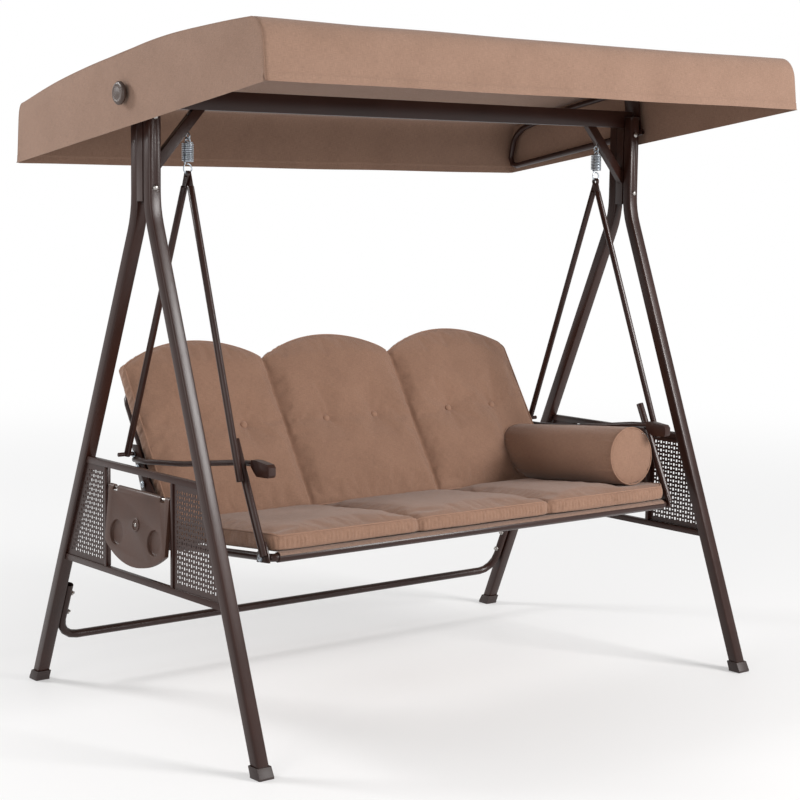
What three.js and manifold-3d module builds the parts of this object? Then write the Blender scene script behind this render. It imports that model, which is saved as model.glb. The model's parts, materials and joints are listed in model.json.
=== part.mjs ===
// Three-seat garden swing bench with a tilting canopy. Millimetres, +Z up, front towards -Y.
// Left is -X. The upright posts stand in the plane Y = 0 until CENTRE_Y moves the whole swing,
// so that the middle of its bounding box lies on the origin.
import * as THREE from "three";
import { mergeVertices } from "three/addons/utils/BufferGeometryUtils.js";
import Module from "manifold-3d";

const wasm = await Module();
wasm.setup();

// Whole object
const CENTRE_Y = 3.36; // shift that centres the bounding box
const GAP = 0.3; // clearance between pieces that touch
const SEGMENTS = 12; // sides of a round tube

// A-frames: two bent legs and a centre post on each side
const LEG_X = 885; // middle of each A-frame
const LEG_WIDE = 38; // along X
const LEG_DEEP = 34; // across the leg
const LEG_WALL = 2;
const LEG_OFFSET = 32; // upright part of each leg, from the centre plane
const LEG_TOP = 1694;
const LEG_END = 14; // lower end of the tube, inside its cap
const FRONT_BEND_Z = 1400;
const REAR_BEND_Z = 1385;
const FRONT_FOOT = 550; // where the leg's middle line meets the floor
const REAR_FOOT = 622;
const BEND_RADIUS = 260;
const POST_DEEP = 29.4;
const POST_BOTTOM = 1420;
const CAP_WIDE = 45;
const CAP_DEEP = 44;
const CAP_HIGH = 30;
const BOLT_HEIGHTS = { upper: 1640, lower: 1456 };
const BOLT_RADIUS = 4;

// Crossbeam and braces
const BEAM_BOTTOM = 1663;
const BEAM_HIGH = 52;
const BEAM_DEEP = 29;
const BEAM_HALF = 904;
const BEAM_WALL = 2;
const PLUG_LONG = 30;
const BRACE_HIGH = 28;
const BRACE_DEEP = 20;
const BRACE_POST_Z = 1507; // middle line at the post
const BRACE_BEAM_X = 728; // middle line at the beam

// Rear lower bar
const BAR_RADIUS = 12.5;
const BAR_Z = 135;
const BAR_TOP = 305;
const BAR_BEND = 62;

// Side panels and folding trays
const PANEL_X = 890;
const RAIL_WIDE = 16;
const RAIL_HIGH = 18;
const TOP_RAIL_Z = 707.5;
const LOW_RAIL_Z = 394;
const POST_FRONT_Y = -139; // inner face of the front panel's edge
const POST_REAR_Y = 185; // inner face of the rear panel's edge
const EDGE_POST = 12;
const SHEET_THICK = 2;
const SHEET_OUT = 3; // the sheet lies this far outside the rails' middle
const HOLE_SIZE = 9;
const HOLE_PITCH_Y = 30;
const HOLE_PITCH_Z = 20;
const HOLE_MARGIN = 16;
const TRAY_PIN_Z = 640;
const TRAY_PIN_RADIUS = 4;
const TRAY_BARREL = 8;
const TRAY_DEPTH = 200;
const TRAY_SIDE = 148; // length of the straight sides
const TRAY_THICK = 4;
const TRAY_RIM = 12;
const TRAY_LEAN = 5.5; // degrees outwards at rest
const CUP_RADIUS = 34;
const CUP_DEEP = 9;
const CUP_Y = 98; // either side of the tray's middle
const CUP_DROP = 120;
const BOSS_RADIUS = 18;
const BOSS_DROP = 86;

// Springs and their eyes
const HOOK_X = 758;
const HOOK_Y = -3;
const EYE_Z = 1593;
const EYE_RADIUS = 9;
const EYE_WIRE = 2.5;
const SHANK_RADIUS = 1.9;
const SPRING_WIRE = 2;
const SPRING_RADIUS = 14.5;
const COIL_TOP = 1578;
const COIL_BOTTOM = 1526;
const COILS = 10;
const COIL_CUTS = 10; // straight pieces to a turn
const TOP_HOOK_RADIUS = 7;
const TOP_HOOK_Z = 1588.8; // highest wire centre, inside the eye
const LOOP_RADIUS = 12.5;
const LOOP_Z = 1494.5; // lowest wire centre, inside the hangers' holes

// Hanger arms
const TAB_THICK = 4.7;
const TAB_HOLE = 7;
const TAB_HALF_WIDE = 11;
const HOLE_Z = 1491;
const ARM_RADIUS = 9.5;
const ARM_WALL = 1.6;
const ARM_START = 32; // below the hole
const FRONT_ARM = { x: 776, y: -285, z: 702 };
const REAR_ARM = { x: 772, y: 298, z: 700 };
const LOWER_ARM_RADIUS = 11;
const LOWER_ARM_X = 753;
const LOWER_ARM_TOP = { y: -227, z: 804 };
const LOWER_ARM_FOOT = { y: -362, z: 514 };
const PLATE_BOLTS = [[300, 702], [277, 665], [250, 622]]; // along the back frame's tube

// Seat frame, leaning back
const SEAT_LEAN = 5; // degrees
const SEAT_Y = -367; // middle of the front rail
const SEAT_Z = 509;
const SEAT_LONG = 542; // between the middles of the front and rear rails
const SLEEVE_RADIUS = 14;
const SLEEVE_BORE = 11.4;
const SLEEVE_HALF = 716;
const SIDE_RADIUS = 11;
const SIDE_X = 731;
const SIDE_BEND = 14;
const TUBE_WALL = 1.8;
const SLING_THICK = 2.4;

// Back frame, leaning back
const BACK_LEAN = 32; // degrees from vertical
const BACK_Y = 300;
const BACK_Z = 702;
const BACK_X = 718;
const BACK_BELOW = 250; // from that point down to the tube's end
const BACK_ABOVE = 196; // and up to the top bar
const BACK_BEND = 40;

// Armrests
const ARMREST_RADIUS = 8;
const GRIP_LONG = 82;

// Cushions
const SEAT_PAD_HALF = 730;
const SEAT_PAD_THICK = 45;
const SEAT_PAD_REAR = 487; // rear edge, from the front rail along the seat
const BACK_PAD_HALF = 728;
const BACK_PAD_THICK = 45;
const BACK_PAD_LOW = -238; // along the back, from BACK_Y, BACK_Z
const SHOULDER = 254;
const SCALLOP = 70; // how far a section's top rises above its shoulders
const PAD_BEVEL = 14;
const BOLSTER_RADIUS = 91;
const BOLSTER_X = 644;
const BOLSTER_FRONT = 52; // front end, from the front rail along the seat
const BOLSTER_LONG = 498;

// Canopy, drawn level about its pivot and then tilted
const PIVOT_Z = 1698;
const CANOPY_TILT = 8.4;
const CANOPY_HALF = 950;
const CANOPY_WALL = 5;
const HEM = -86.5;
const HEM_FRONT = -645;
const HEM_REAR = 630;
const CROWN = 111;
const ROOF_RADIUS = 4700;
const FRONT_SHOULDER = { u: -600, v: 71 };
const FRONT_NOSE = { u: -648, v: 10 };
const REAR_SHOULDER = { u: 586, v: 71 };
const CANOPY_TUBE = 9.5;
const CANOPY_TUBE_X = 925;
const PLATE_THICK = 4;
const CROSS_BAR_FRONT = { u: -604, v: 34 };
const CROSS_BAR_REAR = { u: 470, v: 67 };
const KNOB_RADIUS = 31;
const KNOB_DEEP = 22;
const STUD_RADIUS = 5;

const frame = finish("#35211e", 0.38, 0.25);
const zinc = finish("#a9b4bd", 0.35, 0.9);
const steel = finish("#6b625c", 0.4, 0.8);
const plastic = finish("#5a3a2e", 0.5, 0);
const knobPlastic = finish("#4c3830", 0.55, 0);
const rubber = finish("#2a1c19", 0.7, 0);
const fabric = finish("#a98772", 0.9, 0);
const sling = finish("#8c7060", 0.9, 0);

const swing = new THREE.Group();
swing.name = "canopy_swing_bench";

function finish(color, roughness, metalness) {
  return new THREE.MeshStandardMaterial({ color, roughness, metalness });
}

// ---------- solids ----------

// Turns a closed three.js geometry into a manifold-3d solid.
function solid(geometry) {
  const bare = (geometry.index ? geometry.toNonIndexed() : geometry).clone();
  bare.deleteAttribute("normal");
  bare.deleteAttribute("uv");
  const merged = mergeVertices(bare, 1e-4);
  return new wasm.Manifold(
    new wasm.Mesh({
      numProp: 3,
      vertProperties: merged.attributes.position.array,
      triVerts: new Uint32Array(merged.index.array),
    }),
  );
}

// Adds a manifold-3d solid to the swing as a named mesh with its own material.
function place(name, body, material) {
  const mesh = body.getMesh();
  const flat = new THREE.BufferGeometry();
  flat.setAttribute("position", new THREE.BufferAttribute(new Float32Array(mesh.vertProperties), 3));
  flat.setIndex(new THREE.BufferAttribute(new Uint32Array(mesh.triVerts), 1));
  const geometry = flat.toNonIndexed();
  geometry.translate(0, CENTRE_Y, 0);
  geometry.computeVertexNormals();
  const node = new THREE.Mesh(geometry, material.clone());
  node.name = name;
  swing.add(node);
}

function box(x0, x1, y0, y1, z0, z1) {
  const geometry = new THREE.BoxGeometry(x1 - x0, y1 - y0, z1 - z0);
  return solid(geometry.translate((x0 + x1) / 2, (y0 + y1) / 2, (z0 + z1) / 2));
}

// A cylinder between two points.
function rod(from, to, radius, sides = SEGMENTS) {
  const a = new THREE.Vector3(...from);
  const b = new THREE.Vector3(...to);
  const along = b.clone().sub(a);
  const geometry = new THREE.CylinderGeometry(radius, radius, along.length(), sides);
  const turn = new THREE.Quaternion().setFromUnitVectors(new THREE.Vector3(0, 1, 0), along.normalize());
  geometry.applyQuaternion(turn);
  const middle = a.add(b).multiplyScalar(0.5);
  return solid(geometry.translate(middle.x, middle.y, middle.z));
}

// A flat outline in the YZ plane, given as [y, z] pairs, drawn out from x0 to x1.
function slabX(outline, x0, x1) {
  const shape = new THREE.Shape(outline.map(([y, z]) => new THREE.Vector2(y, z)));
  const geometry = new THREE.ExtrudeGeometry(shape, { depth: x1 - x0, bevelEnabled: false });
  const turn = new THREE.Matrix4().makeBasis(
    new THREE.Vector3(0, 1, 0),
    new THREE.Vector3(0, 0, 1),
    new THREE.Vector3(1, 0, 0),
  );
  return solid(geometry.applyMatrix4(turn).translate(x0, 0, 0));
}

// A flat outline in the XZ plane, given as [x, z] pairs, drawn out from y0 to y1.
function slabY(outline, y0, y1) {
  const shape = new THREE.Shape(outline.map(([x, z]) => new THREE.Vector2(x, z)));
  const geometry = new THREE.ExtrudeGeometry(shape, { depth: y1 - y0, bevelEnabled: false });
  return solid(geometry.rotateX(Math.PI / 2).translate(0, y1, 0));
}

// A body of revolution about a line along X that starts at the given point.
function turnedX(profile, x, y, z, direction) {
  const points = profile.map(([r, h]) => new THREE.Vector2(r, h));
  const geometry = new THREE.LatheGeometry(points, 24);
  geometry.rotateZ(direction > 0 ? -Math.PI / 2 : Math.PI / 2);
  return solid(geometry.translate(x, y, z));
}

// A path through straight runs with rounded corners.
class BentPath extends THREE.Curve {
  constructor(corners, radii, cuts = 5) {
    super();
    this.points = rounded(corners.map((c) => new THREE.Vector3(...c)), radii, cuts);
  }

  getPoint(t) {
    const last = this.points.length - 1;
    const at = Math.min(Math.round(t * last), last);
    return this.points[at].clone();
  }

  getPointAt(t) {
    return this.getPoint(t);
  }

  getTangentAt(t) {
    const last = this.points.length - 1;
    const at = Math.round(t * last);
    const before = this.points[Math.max(at - 1, 0)];
    const here = this.points[at];
    const after = this.points[Math.min(at + 1, last)];
    const incoming = here.clone().sub(before).normalize();
    const outgoing = after.clone().sub(here).normalize();
    return incoming.add(outgoing).normalize();
  }
}

// Replaces each inner corner by an arc of its radius.
function rounded(corners, radii, cuts) {
  const points = [corners[0]];
  for (let i = 1; i < corners.length - 1; i += 1) {
    const corner = corners[i];
    const back = corners[i - 1].clone().sub(corner).normalize();
    const on = corners[i + 1].clone().sub(corner).normalize();
    const half = back.angleTo(on) / 2;
    const radius = Array.isArray(radii) ? radii[i - 1] : radii;
    const centre = back.clone().add(on).normalize().multiplyScalar(radius / Math.sin(half)).add(corner);
    const start = corner.clone().addScaledVector(back, radius / Math.tan(half)).sub(centre);
    const end = corner.clone().addScaledVector(on, radius / Math.tan(half)).sub(centre);
    const sweep = start.angleTo(end);
    for (let k = 0; k <= cuts; k += 1) {
      const share = k / cuts;
      const a = Math.sin((1 - share) * sweep) / Math.sin(sweep);
      const b = Math.sin(share * sweep) / Math.sin(sweep);
      points.push(start.clone().multiplyScalar(a).addScaledVector(end, b).add(centre));
    }
  }
  points.push(corners[corners.length - 1]);
  return points;
}

function sweep(section, path) {
  const steps = path.points.length - 1;
  return solid(new THREE.ExtrudeGeometry(section, { steps, extrudePath: path, bevelEnabled: false }));
}

function circle(radius, sides = SEGMENTS) {
  const points = [];
  for (let i = 0; i < sides; i += 1) {
    const angle = (i / sides) * 2 * Math.PI;
    points.push(new THREE.Vector2(radius * Math.cos(angle), radius * Math.sin(angle)));
  }
  return points;
}

// Round tube section; wall 0 gives a solid wire.
function roundSection(radius, wall = 0, sides = SEGMENTS) {
  const shape = new THREE.Shape(circle(radius, sides));
  if (wall > 0) shape.holes.push(new THREE.Path(circle(radius - wall, sides)));
  return shape;
}

function roundedRectangle(long, wide, radius) {
  const points = [];
  const cuts = 3;
  [[1, 1], [-1, 1], [-1, -1], [1, -1]].forEach(([sx, sy], corner) => {
    for (let k = 0; k <= cuts; k += 1) {
      const angle = ((corner + k / cuts) * Math.PI) / 2;
      const x = sx * (long / 2 - radius) + radius * Math.cos(angle);
      const y = sy * (wide / 2 - radius) + radius * Math.sin(angle);
      points.push(new THREE.Vector2(x, y));
    }
  });
  return points;
}

function tube(corners, bend, radius, wall, cuts = 4, sides = SEGMENTS) {
  return sweep(roundSection(radius, wall, sides), new BentPath(corners, bend, cuts));
}

const sides = [["left", -1], ["right", 1]];
const degrees = (value) => (value * Math.PI) / 180;

// ---------- A-frames ----------

// Middle line of a leg, for the front (end -1) or the rear (end 1).
function legPath(side, end) {
  const bendZ = end < 0 ? FRONT_BEND_Z : REAR_BEND_Z;
  const x = side * LEG_X;
  const low = [x, legY(end, LEG_END), LEG_END];
  const corner = [x, end * LEG_OFFSET, bendZ];
  const top = [x, end * LEG_OFFSET, LEG_TOP];
  return new BentPath([low, corner, top], BEND_RADIUS, 4);
}

// Distance of the sloping part of a leg's middle line from the centre plane, at a height.
function legY(end, z) {
  const bendZ = end < 0 ? FRONT_BEND_Z : REAR_BEND_Z;
  const foot = end < 0 ? FRONT_FOOT : REAR_FOOT;
  return end * (LEG_OFFSET + ((foot - LEG_OFFSET) * (bendZ - z)) / bendZ);
}

function legSlope(end) {
  const bendZ = end < 0 ? FRONT_BEND_Z : REAR_BEND_Z;
  const foot = end < 0 ? FRONT_FOOT : REAR_FOOT;
  return (foot - LEG_OFFSET) / bendZ;
}

// Where a leg's inner face (towards the centre plane) is at a height.
function legInnerY(end, z) {
  const half = (LEG_DEEP / 2) * Math.hypot(1, legSlope(end));
  return legY(end, z) - end * half;
}

function legSection(grow, wall) {
  const shape = new THREE.Shape(roundedRectangle(LEG_WIDE + 2 * grow, LEG_DEEP + 2 * grow, 7));
  if (wall > 0) {
    const inner = roundedRectangle(LEG_WIDE - 2 * wall, LEG_DEEP - 2 * wall, 5);
    shape.holes.push(new THREE.Path(inner));
  }
  return shape;
}

function boltHoles(side, grow) {
  const x = side * LEG_X;
  const through = 70; // well past both faces of the upright
  return Object.values(BOLT_HEIGHTS).map((z) => {
    return rod([x, -through, z], [x, through, z], BOLT_RADIUS + grow, 12);
  });
}

function addLegs() {
  for (const [label, side] of sides) {
    for (const [end, word] of [[-1, "front"], [1, "rear"]]) {
      let leg = sweep(legSection(0, LEG_WALL), legPath(side, end));
      for (const hole of boltHoles(side, GAP)) leg = leg.subtract(hole);
      place(`${label}_${word}_leg`, leg, frame);
      addFootCap(label, side, end, word);
    }
    addPost(label, side);
    addBolts(label, side);
  }
}

// Plastic shoe round the lower end of a leg, flat on the floor.
function addFootCap(label, side, end, word) {
  const x = side * LEG_X;
  const lean = legSlope(end) * CAP_HIGH;
  const low = legY(end, 0);
  const outline = [
    [low - CAP_DEEP / 2, 0],
    [low + CAP_DEEP / 2, 0],
    [low + CAP_DEEP / 2, 6],
    [low - end * lean + CAP_DEEP / 2 - 2, CAP_HIGH],
    [low - end * lean - CAP_DEEP / 2 + 2, CAP_HIGH],
    [low - CAP_DEEP / 2, 6],
  ];
  const shell = slabX(outline, x - CAP_WIDE / 2, x + CAP_WIDE / 2);
  const axis = new THREE.Vector3(0, -end * legSlope(end), 1).normalize();
  const start = [x, legY(end, LEG_END) - GAP * axis.y, LEG_END - GAP * axis.z];
  const stop = [x, legY(end, 3 * CAP_HIGH), 3 * CAP_HIGH];
  const bore = sweep(legSection(GAP, 0), new BentPath([start, stop], 0));
  place(`${label}_${word}_foot_cap`, shell.subtract(bore), rubber);
}

function addPost(label, side) {
  const x = side * LEG_X;
  const half = LEG_WIDE / 2;
  const deep = POST_DEEP / 2;
  const outer = box(x - half, x + half, -deep, deep, POST_BOTTOM, BEAM_BOTTOM - GAP);
  const hollow = box(x - half + 2, x + half - 2, -deep + 2, deep - 2, POST_BOTTOM - 1, BEAM_BOTTOM + 1);
  let post = outer.subtract(hollow);
  for (const hole of boltHoles(side, GAP)) post = post.subtract(hole);
  place(`${label}_centre_post`, post, frame);
}

// Through bolts that clamp both legs to the post: domed head in front, nut behind.
function addBolts(label, side) {
  const x = side * LEG_X;
  const face = LEG_OFFSET + LEG_DEEP / 2 + GAP;
  for (const [height, z] of Object.entries(BOLT_HEIGHTS)) {
    const profile = [
      [0, -5.5], [5, -4.5], [8, -1.5], [8, 0], [BOLT_RADIUS, 0],
      [BOLT_RADIUS, 2 * face], [7.5, 2 * face], [7.5, 2 * face + 6], [0, 2 * face + 6],
    ];
    const points = profile.map(([r, h]) => new THREE.Vector2(r, h));
    const geometry = new THREE.LatheGeometry(points, 12);
    place(`${label}_${height}_bolt`, solid(geometry.translate(x, -face, z)), steel);
  }
}

function addBeam() {
  const top = BEAM_BOTTOM + BEAM_HIGH;
  const deep = BEAM_DEEP / 2;
  const inside = BEAM_HALF - PLUG_LONG;
  const outer = box(-BEAM_HALF, BEAM_HALF, -deep, deep, BEAM_BOTTOM, top);
  const within = deep - BEAM_WALL;
  const hollow = box(-inside, inside, -within, within, BEAM_BOTTOM + BEAM_WALL, top - BEAM_WALL);
  const bore = rod([-BEAM_HALF - 1, 0, PIVOT_Z], [BEAM_HALF + 1, 0, PIVOT_Z], STUD_RADIUS + GAP);
  place("crossbeam", outer.subtract(hollow).subtract(bore), frame);
}

// Diagonal brace from the post up to the beam; it carries the spring's eye.
function addBraces() {
  const postX = LEG_X - LEG_WIDE / 2 - GAP;
  const topZ = BEAM_BOTTOM - GAP;
  const slope = Math.atan2(topZ - BRACE_POST_Z, postX - BRACE_BEAM_X);
  const rise = BRACE_HIGH / 2 / Math.cos(slope);
  const run = BRACE_HIGH / 2 / Math.sin(slope);
  for (const [label, side] of sides) {
    const outline = [
      [side * postX, BRACE_POST_Z - rise],
      [side * postX, BRACE_POST_Z + rise],
      [side * (BRACE_BEAM_X + run), topZ],
      [side * (BRACE_BEAM_X - run), topZ],
    ];
    if (side > 0) outline.reverse();
    const bar = slabY(outline, HOOK_Y - BRACE_DEEP / 2, HOOK_Y + BRACE_DEEP / 2);
    const hook = [side * HOOK_X, HOOK_Y];
    const shank = rod([...hook, EYE_Z], [...hook, topZ], SHANK_RADIUS + GAP, 10);
    place(`${label}_brace`, bar.subtract(shank), frame);
  }
}

// Eye bolt that hangs under the brace, its ring in the YZ plane.
function addEyes() {
  const braceTop = 1652; // the shank's end, under the beam
  for (const [label, side] of sides) {
    const x = side * HOOK_X;
    const ring = new THREE.LatheGeometry(wireCircle(EYE_RADIUS, EYE_WIRE, 8), 20);
    ring.rotateZ(Math.PI / 2).translate(x, HOOK_Y, EYE_Z);
    const shankFoot = [x, HOOK_Y, EYE_Z + EYE_RADIUS + 0.5];
    const shank = rod(shankFoot, [x, HOOK_Y, braceTop], SHANK_RADIUS, 10);
    place(`${label}_spring_eye`, solid(ring).add(shank), zinc);
  }
}

function wireCircle(radius, wire, cuts) {
  const points = [];
  for (let i = 0; i <= cuts; i += 1) {
    const angle = (i / cuts) * 2 * Math.PI;
    points.push(new THREE.Vector2(radius + wire * Math.cos(angle), wire * Math.sin(angle)));
  }
  return points;
}

// U-shaped bar across the back, its ends turned up along the rear legs.
function addRearBar() {
  const x = LEG_X - LEG_WIDE / 2 - BAR_RADIUS - GAP;
  const corners = [
    [-x, legY(1, BAR_TOP), BAR_TOP],
    [-x, legY(1, BAR_Z), BAR_Z],
    [x, legY(1, BAR_Z), BAR_Z],
    [x, legY(1, BAR_TOP), BAR_TOP],
  ];
  place("rear_lower_bar", tube(corners, BAR_BEND, BAR_RADIUS, TUBE_WALL), frame);
}

// ---------- side panels and trays ----------

function addPanels() {
  const lowTop = LOW_RAIL_Z + RAIL_HIGH;
  const highLow = TOP_RAIL_Z - RAIL_HIGH;
  for (const [label, side] of sides) {
    const x0 = side * PANEL_X - RAIL_WIDE / 2;
    place(`${label}_top_rail`, panelRail(x0, highLow), frame);
    place(`${label}_bottom_rail`, panelRail(x0, LOW_RAIL_Z), frame);
    addPerforated(`${label}_front_panel`, side, -1, POST_FRONT_Y, lowTop + GAP, highLow - GAP);
    addPerforated(`${label}_rear_panel`, side, 1, POST_REAR_Y, lowTop + GAP, highLow - GAP);
  }
}

// Hollow rail between the two legs, its ends cut to their slope.
function panelRail(x0, z) {
  const ends = (height, end) => legInnerY(end, height) - end * GAP;
  const top = z + RAIL_HIGH;
  const outline = [[ends(z, -1), z], [ends(z, 1), z], [ends(top, 1), top], [ends(top, -1), top]];
  const past = 600; // beyond both legs
  const wall = 2;
  const hollow = box(x0 + wall, x0 + RAIL_WIDE - wall, -past, past, z + wall, top - wall);
  return slabX(outline, x0, x0 + RAIL_WIDE).subtract(hollow);
}

// Perforated sheet between a leg and its edge post, which also carries the tray's pin.
function addPerforated(name, side, end, inner, low, high) {
  const leg = (z) => legInnerY(end, z) - end * GAP;
  const outline = [[inner, low], [leg(low), low], [leg(high), high], [inner, high]];
  if (end < 0) outline.reverse();
  const middle = side * (PANEL_X + SHEET_OUT);
  let sheet = slabX(outline, middle - SHEET_THICK / 2, middle + SHEET_THICK / 2);
  const postOuter = inner + end * EDGE_POST;
  const x = side * PANEL_X;
  const postSides = [Math.min(inner, postOuter), Math.max(inner, postOuter)];
  sheet = sheet.add(box(x - 8, x + 8, ...postSides, low, high));
  const holeEnd = [x, inner + end * 8, TRAY_PIN_Z];
  const pinHole = rod([x, inner - end, TRAY_PIN_Z], holeEnd, TRAY_PIN_RADIUS + GAP, 12);
  sheet = sheet.subtract(pinHole);
  const rows = Math.floor((high - low - 3 * HOLE_MARGIN) / HOLE_PITCH_Z);
  for (let row = 0; row <= rows; row += 1) {
    const z = low + HOLE_MARGIN + row * HOLE_PITCH_Z;
    const width = Math.abs(leg(z + HOLE_SIZE) - postOuter) - 2 * HOLE_MARGIN;
    const stagger = (row % 2) * (HOLE_PITCH_Y / 2);
    for (let out = stagger; out + HOLE_SIZE <= width; out += HOLE_PITCH_Y) {
      const y = postOuter + end * (HOLE_MARGIN + out);
      const punch = box(middle - 3, middle + 3, Math.min(y, y + end * HOLE_SIZE),
        Math.max(y, y + end * HOLE_SIZE), z, z + HOLE_SIZE);
      sheet = sheet.subtract(punch);
    }
  }
  place(name, sheet, frame);
}

function addTrays() {
  const pinFrom = POST_FRONT_Y - 6;
  const pinTo = POST_REAR_Y + 6;
  for (const [label, side] of sides) {
    const x = side * PANEL_X;
    const pin = rod([x, pinFrom, TRAY_PIN_Z], [x, pinTo, TRAY_PIN_Z], TRAY_PIN_RADIUS, 12);
    place(`${label}_tray_pin`, pin, steel);
    place(`${label}_tray`, trayBody(x, side), plastic);
  }
}

// Folded tray: barrel round the pin, D-shaped top with two cup wells, and a rim turned in.
function trayBody(x, side) {
  const front = POST_FRONT_Y + 5;
  const rear = POST_REAR_Y - 5;
  const middle = (front + rear) / 2;
  const outer = x + side * TRAY_BARREL;
  const face = outer - side * TRAY_THICK;
  const back = outer - side * TRAY_RIM;
  const [x0, x1] = [Math.min(outer, face), Math.max(outer, face)];
  const [r0, r1] = [Math.min(outer, back), Math.max(outer, back)];
  const rim = slabX(trayOutline(front, rear, 0), r0, r1);
  const faces = [Math.min(face, back - side), Math.max(face, back - side)];
  const room = slabX(trayOutline(front, rear, 3.5), ...faces);
  let tray = rim.subtract(room).add(slabX(trayOutline(front, rear, 0), x0, x1));
  tray = tray.add(rod([x, front, TRAY_PIN_Z], [x, rear, TRAY_PIN_Z], TRAY_BARREL));
  for (const y of [middle - CUP_Y, middle + CUP_Y]) {
    const z = TRAY_PIN_Z - CUP_DROP;
    const well = rod([face, y, z], [outer - side * (CUP_DEEP + 3), y, z], CUP_RADIUS + 3, 28);
    const drink = rod([outer + side, y, z], [outer - side * CUP_DEEP, y, z], CUP_RADIUS, 28);
    tray = tray.add(well).subtract(drink);
  }
  const bossZ = TRAY_PIN_Z - BOSS_DROP;
  tray = tray.add(rod([face, middle, bossZ], [outer + side * 2.5, middle, bossZ], BOSS_RADIUS, 24));
  const dishEnd = [outer + side * 4, middle, bossZ];
  tray = tray.subtract(rod([outer + side * 1, middle, bossZ], dishEnd, BOSS_RADIUS - 4, 24));
  const bore = TRAY_PIN_RADIUS + GAP;
  tray = tray.subtract(rod([x, front - 1, TRAY_PIN_Z], [x, rear + 1, TRAY_PIN_Z], bore, 12));
  return turnedAboutY(tray, x, TRAY_PIN_Z, side * -TRAY_LEAN);
}

// Straight sides from the pin, then an arc across the bottom.
function trayOutline(front, rear, inset) {
  const half = (rear - front) / 2 - inset;
  const middle = (rear + front) / 2;
  const sideEnd = TRAY_PIN_Z - TRAY_SIDE + inset;
  const sagitta = TRAY_DEPTH - TRAY_SIDE;
  const radius = (half * half + sagitta * sagitta) / (2 * sagitta);
  const centreZ = sideEnd - sagitta + radius;
  const reach = Math.asin(half / radius);
  const points = [[middle + half, TRAY_PIN_Z], [middle - half, TRAY_PIN_Z]];
  const cuts = 16;
  for (let i = 0; i <= cuts; i += 1) {
    const angle = -reach + (2 * reach * i) / cuts;
    points.push([middle + radius * Math.sin(angle), centreZ - radius * Math.cos(angle)]);
  }
  return points;
}

// Positive degrees turn +Z towards +X.
function turnedAboutY(body, x, z, angle) {
  return body.translate([-x, 0, -z]).rotate([0, angle, 0]).translate([x, 0, z]);
}

// ---------- springs and hangers ----------

// One wire: top hook through the eye, coils, and a loop through the hangers' holes.
function addSprings() {
  for (const [label, side] of sides) {
    const at = (x, y, z) => new THREE.Vector3(side * HOOK_X + x, HOOK_Y + y, z);
    const points = [];
    const hookZ = TOP_HOOK_Z - TOP_HOOK_RADIUS;
    for (let i = 0; i <= 8; i += 1) {
      const angle = degrees(-20 + (i * 200) / 8);
      points.push(at(TOP_HOOK_RADIUS * Math.cos(angle), 0, hookZ + TOP_HOOK_RADIUS * Math.sin(angle)));
    }
    const cuts = COILS * COIL_CUTS;
    for (let i = 0; i <= cuts; i += 1) {
      const angle = Math.PI + (i / COIL_CUTS) * 2 * Math.PI;
      const z = COIL_TOP - (i / cuts) * (COIL_TOP - COIL_BOTTOM);
      points.push(at(SPRING_RADIUS * Math.cos(angle), SPRING_RADIUS * Math.sin(angle), z));
    }
    const loopZ = LOOP_Z + LOOP_RADIUS;
    for (let i = 0; i <= 14; i += 1) {
      const angle = degrees(160 + (i * 300) / 14);
      points.push(at(LOOP_RADIUS * Math.cos(angle), 0, loopZ + LOOP_RADIUS * Math.sin(angle)));
    }
    const path = new BentPath([[0, 0, 0], [1, 0, 0]], 0);
    path.points = points;
    place(`${label}_spring`, sweep(roundSection(SPRING_WIRE, 0, 6), path), zinc);
  }
}

function hangerTab(side, x, lower) {
  const out = new THREE.Vector3(0, lower.y - HOOK_Y, lower.z - HOLE_Z).normalize();
  const across = new THREE.Vector3(0, -out.z, out.y);
  const corner = (a, b) => [HOOK_Y + out.y * a + across.y * b, HOLE_Z + out.z * a + across.z * b];
  const long = ARM_START + 26;
  const outline = [];
  for (let i = 0; i <= 8; i += 1) {
    const angle = Math.PI * (i / 8);
    outline.push(corner(-TAB_HALF_WIDE * Math.sin(angle), TAB_HALF_WIDE * Math.cos(angle)));
  }
  outline.push(corner(long, -TAB_HALF_WIDE + 2), corner(long, TAB_HALF_WIDE - 2));
  const area = THREE.ShapeUtils.area(outline.map(([y, z]) => new THREE.Vector2(y, z)));
  if (area < 0) outline.reverse();
  const half = TAB_THICK / 2;
  const plate = slabX(outline, side * x - half, side * x + half);
  const hole = rod([side * x - 9, HOOK_Y, HOLE_Z], [side * x + 9, HOOK_Y, HOLE_Z], TAB_HOLE, 20);
  return plate.subtract(hole);
}

// Round arm from just below the hole to its lower end, closed at the top by the flat tab.
function hangerArm(side, x, lower) {
  const share = ARM_START / (HOLE_Z - lower.z);
  const startX = side * (x + (lower.x - x) * share);
  const start = [startX, HOOK_Y + (lower.y - HOOK_Y) * share, HOLE_Z - ARM_START];
  const arm = tube([start, [side * lower.x, lower.y, lower.z]], 0, ARM_RADIUS, ARM_WALL);
  return arm.add(hangerTab(side, x, lower));
}

function addHangers() {
  const tab = (TAB_THICK + GAP) / 2;
  for (const [label, side] of sides) {
    place(`${label}_front_hanger`, hangerArm(side, HOOK_X - tab, FRONT_ARM), frame);
    place(`${label}_rear_hanger`, hangerArm(side, HOOK_X + tab, REAR_ARM).add(rearPlate(side)), frame);
    place(`${label}_lower_hanger`, lowerHanger(side), frame);
  }
}

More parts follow.
